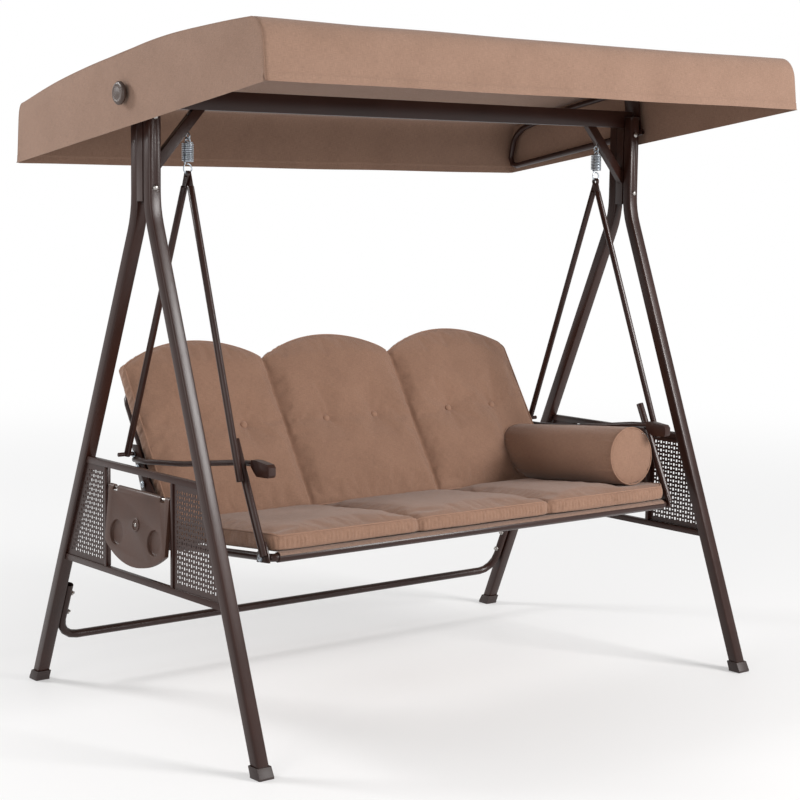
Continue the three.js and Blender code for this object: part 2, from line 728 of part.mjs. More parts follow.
// Lower half of the front arm, with a flat foot against the seat's side rail.
function lowerHanger(side) {
  const top = [side * LOWER_ARM_X, LOWER_ARM_TOP.y, LOWER_ARM_TOP.z];
  const foot = [side * LOWER_ARM_X, LOWER_ARM_FOOT.y, LOWER_ARM_FOOT.z];
  const arm = tube([top, foot], 0, LOWER_ARM_RADIUS, TUBE_WALL);
  const inner = side * (SIDE_X + SIDE_RADIUS + GAP);
  const outer = inner + side * 5;
  const outline = [[-376, 498], [-320, 493], [-320, 517], [-340, 540], [-356, 552], [-372, 520]];
  const plate = slabX(outline, Math.min(inner, outer), Math.max(inner, outer));
  return arm.add(plate);
}

// Plate welded to the foot of the rear arm; the back frame and the seat's rear corner bolt to it.
function rearPlate(side) {
  const inner = side * (SIDE_X + SIDE_RADIUS + GAP);
  const outer = side * (REAR_ARM.x + 2);
  const skin = inner + side * 4;
  const outline = [[318, 728], [284, 730], [228, 640], [100, 505], [88, 456], [190, 446], [262, 600]];
  const area = THREE.ShapeUtils.area(outline.map(([y, z]) => new THREE.Vector2(y, z)));
  if (area < 0) outline.reverse();
  const plate = slabX(outline, Math.min(inner, skin), Math.max(inner, skin));
  const pinZ = REAR_ARM.z + 4;
  const pin = rod([inner, REAR_ARM.y, pinZ], [outer + side * 26, REAR_ARM.y, pinZ], 6, 12);
  let bolted = plate.add(pin);
  const tubeSide = side * (BACK_X + SIDE_RADIUS + GAP);
  for (const [y, z] of PLATE_BOLTS) {
    bolted = bolted.add(rod([tubeSide, y, z], [skin + side * 4, y, z], 6, 12));
  }
  return bolted;
}

// ---------- seat, back and armrests ----------

// Leans a body drawn level at the front rail back about that rail.
function leaned(body) {
  return body.translate([0, -SEAT_Y, -SEAT_Z]).rotate([-SEAT_LEAN, 0, 0]).translate([0, SEAT_Y, SEAT_Z]);
}

function addSeatFrame() {
  const rearY = SEAT_Y + SEAT_LONG;
  for (const [name, y] of [["seat_front_rail", SEAT_Y], ["seat_rear_rail", rearY]]) {
    const ends = [[-SLEEVE_HALF, y, SEAT_Z], [SLEEVE_HALF, y, SEAT_Z]];
    const rail = tube(ends, 0, SLEEVE_RADIUS, SLEEVE_RADIUS - SLEEVE_BORE);
    place(name, leaned(rail), frame);
  }
  for (const [label, side] of sides) {
    const inside = side * (SLEEVE_HALF - 20);
    const x = side * SIDE_X;
    const places = [[inside, SEAT_Y], [x, SEAT_Y], [x, rearY], [inside, rearY]];
    const corners = places.map((place) => [...place, SEAT_Z]);
    const rail = tube(corners, SIDE_BEND, SIDE_RADIUS, TUBE_WALL);
    place(`seat_${label}_rail`, leaned(rail), frame);
  }
  const low = SEAT_Z + SLEEVE_RADIUS + GAP;
  const cloth = box(-SLEEVE_HALF, SLEEVE_HALF, SEAT_Y - 4, rearY - 70, low, low + SLING_THICK);
  place("seat_sling", leaned(cloth), sling);
}

// Moves a body drawn with X across, Y through the back and Z along it to its place.
function reclined(body) {
  return body.rotate([-BACK_LEAN, 0, 0]).translate([0, BACK_Y, BACK_Z]);
}

function addBackFrame() {
  const corners = [
    [-BACK_X, 0, -BACK_BELOW],
    [-BACK_X, 0, BACK_ABOVE],
    [BACK_X, 0, BACK_ABOVE],
    [BACK_X, 0, -BACK_BELOW],
  ];
  place("back_frame", reclined(tube(corners, BACK_BEND, SIDE_RADIUS, TUBE_WALL)), frame);
  const face = -SIDE_RADIUS - GAP;
  const cloth = box(-BACK_X, BACK_X, face - SLING_THICK, face, BACK_PAD_LOW + 20, BACK_ABOVE);
  place("back_sling", reclined(cloth), sling);
}

// Bent bar from the rear plate past the lower hanger, with a flat grip on its front end.
function addArmrests() {
  for (const [label, side] of sides) {
    const corners = [
      [side * 755, 286, 689],
      [side * 755, 225, 690],
      [side * 734, 60, 702],
      [side * 732.5, -215, 740],
      [side * 732.5, -300, 746],
    ];
    const bar = tube(corners, [120, 200, 200], ARMREST_RADIUS, ARM_WALL, 2);
    const grip = slabX(gripOutline(), side * 732.5 - 11, side * 732.5 + 11);
    place(`${label}_armrest`, bar.add(grip), frame);
  }
}

// Side view of the grip: the bar dips and ends in a rounded block.
function gripOutline() {
  const start = -286;
  return [
    [start, 737], [start, 756], [start - 24, 757], [start - GRIP_LONG + 8, 752],
    [start - GRIP_LONG, 744], [start - GRIP_LONG, 724], [start - GRIP_LONG + 6, 717],
    [start - 26, 715], [start - 16, 722],
  ];
}

// ---------- cushions ----------

function padShape(points, thick) {
  const shape = new THREE.Shape(points);
  return new THREE.ExtrudeGeometry(shape, {
    depth: thick - 2 * PAD_BEVEL,
    bevelEnabled: true,
    bevelThickness: PAD_BEVEL,
    bevelSize: PAD_BEVEL,
    bevelOffset: -PAD_BEVEL,
    bevelSegments: 3,
  }).translate(0, 0, PAD_BEVEL);
}

function addCushions() {
  const low = SEAT_Z + SLEEVE_RADIUS + 2 * GAP + SLING_THICK;
  const half = SEAT_PAD_HALF;
  const front = SEAT_Y - 5;
  const rear = SEAT_Y + SEAT_PAD_REAR;
  const seat = [[-half, front], [half, front], [half, rear], [-half, rear]];
  const seatPad = padShape(seat.map(([x, y]) => new THREE.Vector2(x, y)), SEAT_PAD_THICK);
  place("seat_cushion", leaned(solid(seatPad.translate(0, 0, low))), fabric);
  place("back_cushion", backPad(), fabric);
  place("bolster_pillow", bolster(low + SEAT_PAD_THICK), fabric);
}

// Three arched sections side by side.
function backOutline() {
  const section = (2 * BACK_PAD_HALF) / 3;
  const radius = (section * section) / (8 * SCALLOP) + SCALLOP / 2;
  const reach = Math.asin(section / 2 / radius);
  const foot = [-BACK_PAD_HALF, BACK_PAD_HALF];
  const points = foot.map((x) => new THREE.Vector2(x, BACK_PAD_LOW));
  const cuts = 10;
  for (let k = 1; k >= -1; k -= 1) {
    for (let i = 0; i <= cuts; i += 1) {
      if (i === 0 && k < 1) continue;
      const angle = reach - (2 * reach * i) / cuts;
      const x = k * section + radius * Math.sin(angle);
      const z = SHOULDER + SCALLOP - radius + radius * Math.cos(angle);
      points.push(new THREE.Vector2(x, z));
    }
  }
  return points;
}

function backPad() {
  const behind = SIDE_RADIUS + 2 * GAP + SLING_THICK;
  const pad = padShape(backOutline(), BACK_PAD_THICK).rotateX(Math.PI / 2);
  return reclined(solid(pad.translate(0, -behind, 0)));
}

// Cylinder lying on the seat cushion, its rear end pressed flat by the back cushion.
function bolster(top) {
  const z = top + GAP + BOLSTER_RADIUS;
  const front = SEAT_Y + BOLSTER_FRONT;
  const end = [BOLSTER_X, front + BOLSTER_LONG, z];
  const roll = leaned(rod([BOLSTER_X, front, z], end, BOLSTER_RADIUS, 36));
  const face = -(SIDE_RADIUS + 3 * GAP + SLING_THICK + BACK_PAD_THICK);
  return roll.subtract(reclined(box(0, 900, face, face + 400, -400, 400)));
}

// ---------- canopy ----------

// Drawn with Y for u and Z for v about the pivot, then tilted front up.
function tilted(body) {
  return body.rotate([-CANOPY_TILT, 0, 0]).translate([0, 0, PIVOT_Z]);
}

// End view of the canopy, moved in by a wall thickness.
function canopyOutline(inset, hem) {
  const roof = (u) => CROWN - inset - (u + 10) ** 2 / (2 * ROOF_RADIUS);
  const points = [[HEM_FRONT + inset, hem], [HEM_REAR - inset, hem]];
  points.push([REAR_SHOULDER.u + 12 - inset, REAR_SHOULDER.v - 22 - inset / 2]);
  const cuts = 14;
  for (let i = 0; i <= cuts; i += 1) {
    const u = REAR_SHOULDER.u - inset + ((FRONT_SHOULDER.u - REAR_SHOULDER.u + 2 * inset) * i) / cuts;
    points.push([u, roof(u)]);
  }
  const corner = 6;
  for (let i = 1; i <= corner; i += 1) {
    const angle = degrees((90 * i) / corner);
    const u = FRONT_SHOULDER.u + inset - (FRONT_SHOULDER.u - FRONT_NOSE.u) * Math.sin(angle);
    const drop = roof(FRONT_SHOULDER.u) - FRONT_NOSE.v;
    points.push([u, roof(FRONT_SHOULDER.u) - drop * (1 - Math.cos(angle))]);
  }
  return points;
}

function addCanopy() {
  const outer = slabX(canopyOutline(0, HEM), -CANOPY_HALF, CANOPY_HALF);
  const inside = CANOPY_HALF - CANOPY_WALL;
  const room = slabX(canopyOutline(CANOPY_WALL, HEM - 20), -inside, inside);
  const bore = rod([-1000, 0, 0], [1000, 0, 0], STUD_RADIUS + GAP);
  place("canopy_cover", tilted(outer.subtract(room).subtract(bore)), fabric);
  addCanopyFrame(bore);
  addKnobs();
}

// Bent side frames with their pivot plates, and two bars across.
function addCanopyFrame(bore) {
  for (const [label, side] of sides) {
    const x = side * CANOPY_TUBE_X;
    // level about the pivot: up the front, over the roof, down the rear and back along the hem
    const corners = [
      [x, -618, -66], [x, -618, 40], [x, -560, 62], [x, -250, 84], [x, 40, 89], [x, 300, 80],
      [x, 530, 52], [x, 580, 22], [x, 606, -98], [x, 40, -58], [x, -34, -52],
    ];
    const bends = [40, 60, 900, 1200, 1200, 90, 60, 26, 60];
    const loop = tube(corners, bends, CANOPY_TUBE, ARM_WALL, 2, 10);
    const inner = x - side * PLATE_THICK / 2;
    const faces = [inner, inner + side * PLATE_THICK].sort((a, b) => a - b);
    const plate = box(...faces, -30, 34, -62, 92);
    place(`canopy_${label}_frame`, tilted(loop.add(plate).subtract(bore)), frame);
  }
  const reach = CANOPY_TUBE_X - CANOPY_TUBE - GAP;
  for (const [word, at] of [["front", CROSS_BAR_FRONT], ["rear", CROSS_BAR_REAR]]) {
    const bar = tube([[-reach, at.u, at.v], [reach, at.u, at.v]], 0, CANOPY_TUBE, ARM_WALL, 3, 12);
    place(`canopy_${word}_bar`, tilted(bar), frame);
  }
}

// Mushroom knob outside the cover, on a stud that screws into the beam's end.
function addKnobs() {
  for (const [label, side] of sides) {
    const face = CANOPY_HALF + GAP;
    const inEnd = BEAM_HALF - PLUG_LONG + 6 - face;
    const profile = [
      [0, inEnd], [STUD_RADIUS, inEnd], [STUD_RADIUS, 0], [16, 0], [17, 7], [KNOB_RADIUS - 2, 9],
      [KNOB_RADIUS, 12], [KNOB_RADIUS, 15], [KNOB_RADIUS - 4, 19], [14, KNOB_DEEP], [0, KNOB_DEEP],
    ];
    place(`${label}_knob`, turnedX(profile, side * face, 0, PIVOT_Z, side), knobPlastic);
  }
}

addLegs();
addBeam();
addBraces();
addEyes();
addRearBar();
addPanels();
addTrays();
addSprings();
addHangers();
addSeatFrame();
addBackFrame();
addArmrests();
addCushions();
addCanopy();

export default swing;
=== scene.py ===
import json
import math

import bpy
import numpy as np
from bpy.props import FloatProperty, FloatVectorProperty, IntProperty, PointerProperty
from mathutils import Matrix, Vector, noise

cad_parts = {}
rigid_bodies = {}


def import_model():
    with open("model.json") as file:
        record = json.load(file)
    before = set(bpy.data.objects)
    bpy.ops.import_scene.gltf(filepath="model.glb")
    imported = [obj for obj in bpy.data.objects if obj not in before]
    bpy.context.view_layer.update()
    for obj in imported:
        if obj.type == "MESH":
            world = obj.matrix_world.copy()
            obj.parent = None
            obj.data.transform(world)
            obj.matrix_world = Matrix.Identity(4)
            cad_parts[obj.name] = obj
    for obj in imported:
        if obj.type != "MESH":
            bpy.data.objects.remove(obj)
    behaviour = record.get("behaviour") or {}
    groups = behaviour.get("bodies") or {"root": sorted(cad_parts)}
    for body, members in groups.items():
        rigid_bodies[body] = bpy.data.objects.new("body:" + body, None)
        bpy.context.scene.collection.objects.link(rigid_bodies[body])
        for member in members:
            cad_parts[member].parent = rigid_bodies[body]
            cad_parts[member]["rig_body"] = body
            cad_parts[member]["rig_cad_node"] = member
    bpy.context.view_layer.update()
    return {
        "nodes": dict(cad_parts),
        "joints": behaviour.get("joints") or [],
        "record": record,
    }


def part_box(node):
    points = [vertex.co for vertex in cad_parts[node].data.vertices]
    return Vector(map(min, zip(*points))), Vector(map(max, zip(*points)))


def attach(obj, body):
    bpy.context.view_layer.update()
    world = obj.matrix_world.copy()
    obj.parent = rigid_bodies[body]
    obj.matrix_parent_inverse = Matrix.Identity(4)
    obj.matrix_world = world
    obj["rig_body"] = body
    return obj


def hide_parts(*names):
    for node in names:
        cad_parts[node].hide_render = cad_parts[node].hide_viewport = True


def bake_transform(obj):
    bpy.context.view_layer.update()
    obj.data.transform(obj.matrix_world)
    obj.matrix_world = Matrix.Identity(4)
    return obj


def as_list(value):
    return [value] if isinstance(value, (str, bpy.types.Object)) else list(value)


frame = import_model()

bl_info = {
    "name": "Canopy swing bench",
    "version": (1, 0, 0),
    "blender": (4, 5, 0),
    "location": "3D View > Sidebar > Swing",
    "description": "Sewn, woven, moulded and painted pieces of a three-seat garden swing with a canopy",
    "category": "Object",
}

SIDES = (("left", -1), ("right", 1))
JOINTS = {joint["name"]: joint for joint in frame["joints"]}
SLOT_OF = {part["node"]: part["material_slot"] for part in frame["record"]["subparts"]}
FULL_TURN = 2 * math.pi


def middle(node):
    """Centre of a CAD node's box."""
    low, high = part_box(node)
    return (low + high) / 2


# Places that everything else is measured from
FRONT_RAIL = middle("seat_front_rail")
REAR_RAIL = middle("seat_rear_rail")
SEAT_LEAN = math.atan2(FRONT_RAIL.z - REAR_RAIL.z, REAR_RAIL.y - FRONT_RAIL.y)
RAIL_RADIUS = 0.014
BACK_FOOT = FRONT_RAIL + Vector((0, 0.667, 0.193))
BACK_LEAN = math.radians(32)
PIVOT = Vector(JOINTS["canopy_tilt"]["pos_m"])
CANOPY_TILT = math.radians(8.4)
HOOK_LINE = Vector(JOINTS["swing"]["pos_m"])
TRAY_LEAN = math.radians(5.5)

PANEL_X = 0.890
# how far a leg leans for each unit of height: front legs at -1, rear legs at 1
LEG_SLOPE = {-1: 517.0 / 1400, 1: 590.0 / 1385}

# Pads
SEAT_HALF = 0.728
SEAT_REAR = 0.486
SEAT_FRONT = -0.004
PAD_THICK = 0.045
PAD_BASE = 0.0172  # underside of the seat pad above the rails' middle
SEAT_SEAMS = (-0.243, 0.243)
BACK_HALF = 0.727
BACK_LOW = -0.237
BACK_BASE = 0.0142  # rear face of the back pad in front of the back frame's middle
BACK_SECTION = 2 * BACK_HALF / 3
SHOULDER = 0.254
SCALLOP = 0.069
BUTTON_APART = 0.092  # from the middle of a section
BUTTON_UP = 0.038
BOLSTER_RADIUS = 0.0905
BOLSTER_X = 0.644
BOLSTER_FRONT = 0.052
BOLSTER_LONG = 0.52

# Canopy, level about its pivot
CANOPY_HALF = 0.9485
HEM = -0.0865
HEM_FRONT = -0.644
HEM_REAR = 0.629
CROWN = 0.1105
ROOF_RADIUS = 4.7
ROOF_TOP_AT = -0.01
NOSE = (-0.647, 0.010)
FRONT_SHOULDER = -0.600
REAR_SHOULDER = 0.575
HEM_FOLD = 0.020


def seat_point(a, b, h):
    """A point a across, b back along the seat and h above the front rail's middle."""
    c, s = math.cos(SEAT_LEAN), math.sin(SEAT_LEAN)
    return Vector((a, FRONT_RAIL.y + b * c + h * s, FRONT_RAIL.z - b * s + h * c))


def back_point(a, up, out):
    """A point a across, up along the backrest and out in front of it."""
    c, s = math.cos(BACK_LEAN), math.sin(BACK_LEAN)
    return Vector((a, BACK_FOOT.y + up * s - out * c, BACK_FOOT.z + up * c + out * s))


def canopy_point(x, u, v):
    """A point of the canopy, from its level drawing to its tilted place."""
    c, s = math.cos(CANOPY_TILT), math.sin(CANOPY_TILT)
    return Vector((x, PIVOT.y + u * c + v * s, PIVOT.z - u * s + v * c))


# ---------- working with objects ----------


def deselect():
    if bpy.context.object and bpy.context.object.mode != "OBJECT":
        bpy.ops.object.mode_set(mode="OBJECT")
    bpy.ops.object.select_all(action="DESELECT")


def only(obj):
    deselect()
    obj.select_set(True)
    bpy.context.view_layer.objects.active = obj
    return obj


def named(name):
    """The new primitive, which is the active object, under its own name."""
    obj = bpy.context.object
    obj.name = name
    obj.data.name = name
    return obj


def settle_place(obj):
    """Puts the object's place into its mesh."""
    only(obj)
    bpy.ops.object.transform_apply(location=True, rotation=True, scale=True)
    return obj


def from_points(name, points, faces):
    mesh = bpy.data.meshes.new(name)
    mesh.from_pydata([tuple(p) for p in points], [], faces)
    mesh.update()
    obj = bpy.data.objects.new(name, mesh)
    bpy.context.scene.collection.objects.link(obj)
    return obj


def edit(obj, select="SELECT"):
    only(obj)
    bpy.ops.object.mode_set(mode="EDIT")
    bpy.ops.mesh.select_mode(type="FACE")
    bpy.ops.mesh.select_all(action=select)


def leave_edit():
    bpy.ops.object.mode_set(mode="OBJECT")


def pick_faces(obj, wanted):
    """Selects, in edit mode, the faces whose centre and normal pass the test."""
    bpy.ops.mesh.select_mode(type="FACE")
    bpy.ops.mesh.select_all(action="DESELECT")
    bpy.ops.object.mode_set(mode="OBJECT")
    for face in obj.data.polygons:
        face.select = wanted(face.center, face.normal)
    bpy.ops.object.mode_set(mode="EDIT")


def tidy_normals(obj):
    edit(obj)
    bpy.ops.mesh.remove_doubles(threshold=1e-5)
    bpy.ops.mesh.normals_make_consistent(inside=False)
    leave_edit()


def apply_modifier(obj, kind, **settings):
    only(obj)
    modifier = obj.modifiers.new(kind.title(), kind)
    for key, value in settings.items():
        setattr(modifier, key, value)
    bpy.ops.object.modifier_apply(modifier=modifier.name)


def round_edges(obj, width, segments=2, angle=30):
    apply_modifier(
        obj, "BEVEL", width=width, segments=segments, limit_method="ANGLE",
        angle_limit=math.radians(angle), use_clamp_overlap=True,
    )


def smooth(obj, angle=40):
    only(obj)
    bpy.ops.object.shade_smooth_by_angle(angle=math.radians(angle))


def joined(pieces, name):
    deselect()
    for piece in pieces:
        piece.select_set(True)
    bpy.context.view_layer.objects.active = pieces[0]
    bpy.ops.object.join()
    return named(name)


def boolean(obj, cutter, operation):
    apply_modifier(obj, "BOOLEAN", object=cutter, operation=operation, solver="EXACT")
    bpy.data.objects.remove(cutter)


def block(name, low, high, edge=0.001):
    """A rounded bar between two corners."""
    deselect()
    size = Vector(high) - Vector(low)
    bpy.ops.mesh.primitive_cube_add(size=1, location=(Vector(low) + Vector(high)) / 2)
    obj = named(name)
    obj.scale = size
    settle_place(obj)
    round_edges(obj, edge)
    return obj


def turned(name, profile, at, towards, sides=32):
    """A body of revolution, drawn out ring by ring as (radius, height) from the point at."""
    deselect()
    radius, height = profile[0]
    bpy.ops.mesh.primitive_circle_add(vertices=sides, radius=radius, fill_type="NOTHING")
    obj = named(name)
    bpy.ops.object.mode_set(mode="EDIT")
    bpy.ops.mesh.select_all(action="SELECT")
    bpy.ops.mesh.edge_face_add()
    bpy.ops.transform.translate(value=(0, 0, height))
    for next_radius, next_height in profile[1:]:
        bpy.ops.mesh.extrude_region_move(
            TRANSFORM_OT_translate={"value": (0, 0, next_height - height)}
        )
        share = next_radius / radius
        bpy.ops.transform.resize(value=(share, share, 1), center_override=(0, 0, next_height))
        radius, height = next_radius, next_height
    bpy.ops.mesh.select_all(action="SELECT")
    bpy.ops.mesh.normals_make_consistent(inside=False)
    leave_edit()
    turn = Vector((0, 0, 1)).rotation_difference(Vector(towards)).to_matrix().to_4x4()
    obj.data.transform(Matrix.Translation(Vector(at)) @ turn)
    return obj


def wire(name, points, radius, closed=False, sides=3):
    """A round cord or wire along points, made a mesh."""
    curve = bpy.data.curves.new(name, "CURVE")
    curve.dimensions = "3D"
    curve.bevel_depth = radius
    curve.bevel_resolution = sides
    curve.use_fill_caps = True
    line = curve.splines.new("POLY")
    line.points.add(len(points) - 1)
    for point, place in zip(line.points, points):
        point.co = (*place, 1)
    line.use_cyclic_u = closed
    obj = bpy.data.objects.new(name, curve)
    bpy.context.scene.collection.objects.link(obj)
    only(obj)
    bpy.ops.object.convert(target="MESH")
    obj = named(name)
    obj.data.name = name
    smooth(obj, 60)
    return obj


def give(obj, body, slot, material, replaces=()):
    """Gives a finished piece its body and material, and hides the CAD nodes it replaces; the slot is not
    used.
    """
    obj.data.materials.clear()
    obj.data.materials.append(material)
    if replaces:
        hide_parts(*replaces)
    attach(obj, body)
    return obj


def box_uv(obj, turn=Matrix.Identity(3), name="cloth"):
    """Lays a UV map in metres on the cloth, from whichever of the turned axes each face looks along."""
    mesh = obj.data
    layer = mesh.uv_layers.get(name) or mesh.uv_layers.new(name=name)
    places = np.zeros(len(mesh.vertices) * 3)
    mesh.vertices.foreach_get("co", places)
    normals = np.zeros(len(mesh.polygons) * 3)
    mesh.polygons.foreach_get("normal", normals)
    axes = np.array(turn)
    places = places.reshape(-1, 3) @ axes.T
    looks = np.abs(normals.reshape(-1, 3) @ axes.T).argmax(1)
    corners = np.zeros(len(mesh.loops), int)
    mesh.loops.foreach_get("vertex_index", corners)
    counts = np.zeros(len(mesh.polygons), int)
    mesh.polygons.foreach_get("loop_total", counts)
    looks = np.repeat(looks, counts)
    first = np.where(looks == 0, 1, 0)
    second = np.where(looks == 2, 1, 2)
    at = places[corners]
    rows = np.arange(len(corners))
    uv = np.stack([at[rows, first], at[rows, second]], 1)
    layer.data.foreach_set("uv", uv.ravel())


def lean_matrix(angle):
    """Turns the row frame into the axes of something that leans back by an angle."""
    return Matrix.Rotation(angle, 3, "X")


# ---------- materials ----------


def node_group(name, inputs, outputs):
    """An empty shader group with float or vector sockets."""
    group = bpy.data.node_groups.new(name, "ShaderNodeTree")
    for label, kind, default in inputs:
        socket = group.interface.new_socket(name=label, in_out="INPUT", socket_type=kind)
        if default is not None:
            socket.default_value = default
    for label, kind in outputs:
        group.interface.new_socket(name=label, in_out="OUTPUT", socket_type=kind)
    source = group.nodes.new("NodeGroupInput")
    target = group.nodes.new("NodeGroupOutput")
    return group, source, target


def maths(tree, operation, first, second=None, third=None):
    node = tree.nodes.new("ShaderNodeMath")
    node.operation = operation
    for socket, value in zip(node.inputs, (first, second, third)):
        if value is None:
            continue
        if isinstance(value, (int, float)):
            socket.default_value = value
        else:
            tree.links.new(value, socket)
    return node.outputs[0]


def noise_node(tree, vector, scale, detail=3.0, roughness=0.55):
    node = tree.nodes.new("ShaderNodeTexNoise")
    node.inputs["Scale"].default_value = scale
    node.inputs["Detail"].default_value = detail
    node.inputs["Roughness"].default_value = roughness
    tree.links.new(vector, node.inputs["Vector"])
    return node


def stretched(tree, vector, scale):
    node = tree.nodes.new("ShaderNodeMapping")
    node.inputs["Scale"].default_value = scale
    tree.links.new(vector, node.inputs["Vector"])
    return node.outputs[0]


FLOAT, VECTOR = "NodeSocketFloat", "NodeSocketVector"


def weave_group():
    """Plain weave: thread height, and a heathered mask of lighter and darker threads."""
    name = "Plain weave"
    if name in bpy.data.node_groups:
        return bpy.data.node_groups[name]
    group, source, target = node_group(
        name, [("Cloth", VECTOR, None), ("Threads", FLOAT, 900.0)],
        [("Height", FLOAT), ("Heather", FLOAT), ("Mottle", FLOAT)],
    )
    split = group.nodes.new("ShaderNodeSeparateXYZ")
    cloth = source.outputs["Cloth"]
    group.links.new(cloth, split.inputs[0])
    turn = maths(group, "MULTIPLY", source.outputs["Threads"], math.pi)
    across = maths(group, "SINE", maths(group, "MULTIPLY", split.outputs[0], turn))
    along = maths(group, "SINE", maths(group, "MULTIPLY", split.outputs[1], turn))
    height = maths(group, "MULTIPLY_ADD", maths(group, "MULTIPLY", across, along), 0.5, 0.5)
    group.links.new(height, target.inputs["Height"])
    warp = noise_node(group, stretched(group, cloth, (60, 900, 1)), 1.0, 2)
    weft = noise_node(group, stretched(group, cloth, (900, 60, 1)), 1.0, 2)
    mixed = maths(group, "ADD", warp.outputs["Fac"], weft.outputs["Fac"])
    group.links.new(maths(group, "MULTIPLY", mixed, 0.5), target.inputs["Heather"])
    mottle = noise_node(group, cloth, 9.0, 4, 0.6)
    group.links.new(mottle.outputs["Fac"], target.inputs["Mottle"])
    return group


def grain_group():
    """Fine surface grain with slow patches, for paint, plating and moulded plastic."""
    name = "Surface grain"
    if name in bpy.data.node_groups:
        return bpy.data.node_groups[name]
    group, source, target = node_group(
        name, [("Place", VECTOR, None), ("Grain", FLOAT, 400.0), ("Patch", FLOAT, 6.0)],
        [("Height", FLOAT), ("Patches", FLOAT), ("Dust", FLOAT)],
    )
    place = source.outputs["Place"]
    grain = noise_node(group, place, 400.0, 2)
    group.links.new(source.outputs["Grain"], grain.inputs["Scale"])
    group.links.new(grain.outputs["Fac"], target.inputs["Height"])
    patches = noise_node(group, place, 6.0, 5, 0.6)
    group.links.new(source.outputs["Patch"], patches.inputs["Scale"])
    group.links.new(patches.outputs["Fac"], target.inputs["Patches"])
    facing = group.nodes.new("ShaderNodeNewGeometry")
    split = group.nodes.new("ShaderNodeSeparateXYZ")
    group.links.new(facing.outputs["Normal"], split.inputs[0])
    upward = maths(group, "MAXIMUM", split.outputs[2], 0.0)
    fine = maths(group, "MULTIPLY", maths(group, "POWER", upward, 3.0), patches.outputs["Fac"])
    group.links.new(fine, target.inputs["Dust"])
    return group


def start_material(name, color, roughness, constants=None):
    material = bpy.data.materials.new(name)
    material.use_nodes = True
    material.diffuse_color = (*color, 1)
    shader = material.node_tree.nodes["Principled BSDF"]
    shader.inputs["Base Color"].default_value = (*color, 1)
    shader.inputs["Roughness"].default_value = roughness
    for key, value in (constants or {}).items():
        shader.inputs[key].default_value = value
    return material, material.node_tree, shader


def ramp(tree, value, dark, light, low=0.3, high=0.7):
    """Colour between two shades, by a mask."""
    node = tree.nodes.new("ShaderNodeValToRGB")
    node.color_ramp.elements[0].position = low
    node.color_ramp.elements[1].position = high
    node.color_ramp.elements[0].color = (*dark, 1)
    node.color_ramp.elements[1].color = (*light, 1)
    tree.links.new(value, node.inputs["Fac"])
    return node.outputs["Color"]


def blend_colors(tree, share, first, second, mode="MIX"):
    node = tree.nodes.new("ShaderNodeMix")
    node.data_type = "RGBA"
    node.blend_type = mode
    for label, value in (("Factor", share), ("A", first), ("B", second)):
        socket = node.inputs[label]
        if isinstance(value, (int, float)):
            socket.default_value = value
        elif isinstance(value, tuple):
            socket.default_value = (*value, 1)
        else:
            tree.links.new(value, socket)
    return node.outputs["Result"]


def bumped(tree, shader, height, distance, strength=1.0):
    bump = tree.nodes.new("ShaderNodeBump")
    bump.inputs["Distance"].default_value = distance
    bump.inputs["Strength"].default_value = strength
    tree.links.new(height, bump.inputs["Height"])
    tree.links.new(bump.outputs["Normal"], shader.inputs["Normal"])


def use_group(tree, group, vector, vector_name, **values):
    node = tree.nodes.new("ShaderNodeGroup")
    node.node_tree = group
    tree.links.new(vector, node.inputs[vector_name])
    for key, value in values.items():
        node.inputs[key.title()].default_value = value
    return node


def scaled(color, factor):
    return tuple(min(1.0, part * factor) for part in color)


def cloth_material(name, color, threads=900.0, bump=0.00035, contrast=0.16):
    """Woven polyester in metres of its own UV map, heathered and faintly mottled."""
    if name in bpy.data.materials:
        return bpy.data.materials[name]
    material, tree, shader = start_material(
        name, color, 0.88, {"Sheen Weight": 0.18, "Sheen Roughness": 0.45, "Specular IOR Level": 0.25}
    )
    uv = tree.nodes.new("ShaderNodeUVMap")
    uv.uv_map = "cloth"
    weave = use_group(tree, weave_group(), uv.outputs[0], "Cloth", threads=threads)
    dark, light = scaled(color, 1 - contrast), scaled(color, 1 + contrast)
    heather = ramp(tree, weave.outputs["Heather"], dark, light, 0.36, 0.64)
    mottle = ramp(tree, weave.outputs["Mottle"], (0.90, 0.89, 0.88), (1.0, 1.0, 1.0), 0.3, 0.62)
    tree.links.new(blend_colors(tree, 1.0, heather, mottle, "MULTIPLY"), shader.inputs["Base Color"])
    rough = maths(tree, "MULTIPLY_ADD", weave.outputs["Height"], 0.08, 0.84)
    tree.links.new(rough, shader.inputs["Roughness"])
    relief = maths(tree, "MULTIPLY_ADD", weave.outputs["Heather"], 1.2, weave.outputs["Height"])
    bumped(tree, shader, relief, bump)
    return material


def paint_material():
    """Dark brown powder coat: glossy, with a fine orange peel and a little dust on what faces up."""
    name = "Brown powder coat"
    if name in bpy.data.materials:
        return bpy.data.materials[name]
    color = tuple(bpy.context.scene.swing_colors.paint)
    material, tree, shader = start_material(
        name, color, 0.34, {"Coat Weight": 0.06, "Coat Roughness": 0.14, "Specular IOR Level": 0.3}
    )
    place = tree.nodes.new("ShaderNodeTexCoord").outputs["Object"]
    grain = use_group(tree, grain_group(), place, "Place", grain=420.0, patch=5.0)
    shade = ramp(tree, grain.outputs["Patches"], scaled(color, 0.82), scaled(color, 1.2))
    dust = maths(tree, "MULTIPLY", grain.outputs["Dust"], 0.10)
    dusty = blend_colors(tree, dust, shade, (0.32, 0.26, 0.22))
    tree.links.new(dusty, shader.inputs["Base Color"])
    rough = maths(tree, "MULTIPLY_ADD", grain.outputs["Patches"], 0.16, 0.24)
    tree.links.new(rough, shader.inputs["Roughness"])
    bumped(tree, shader, grain.outputs["Height"], 0.00025)
    return material


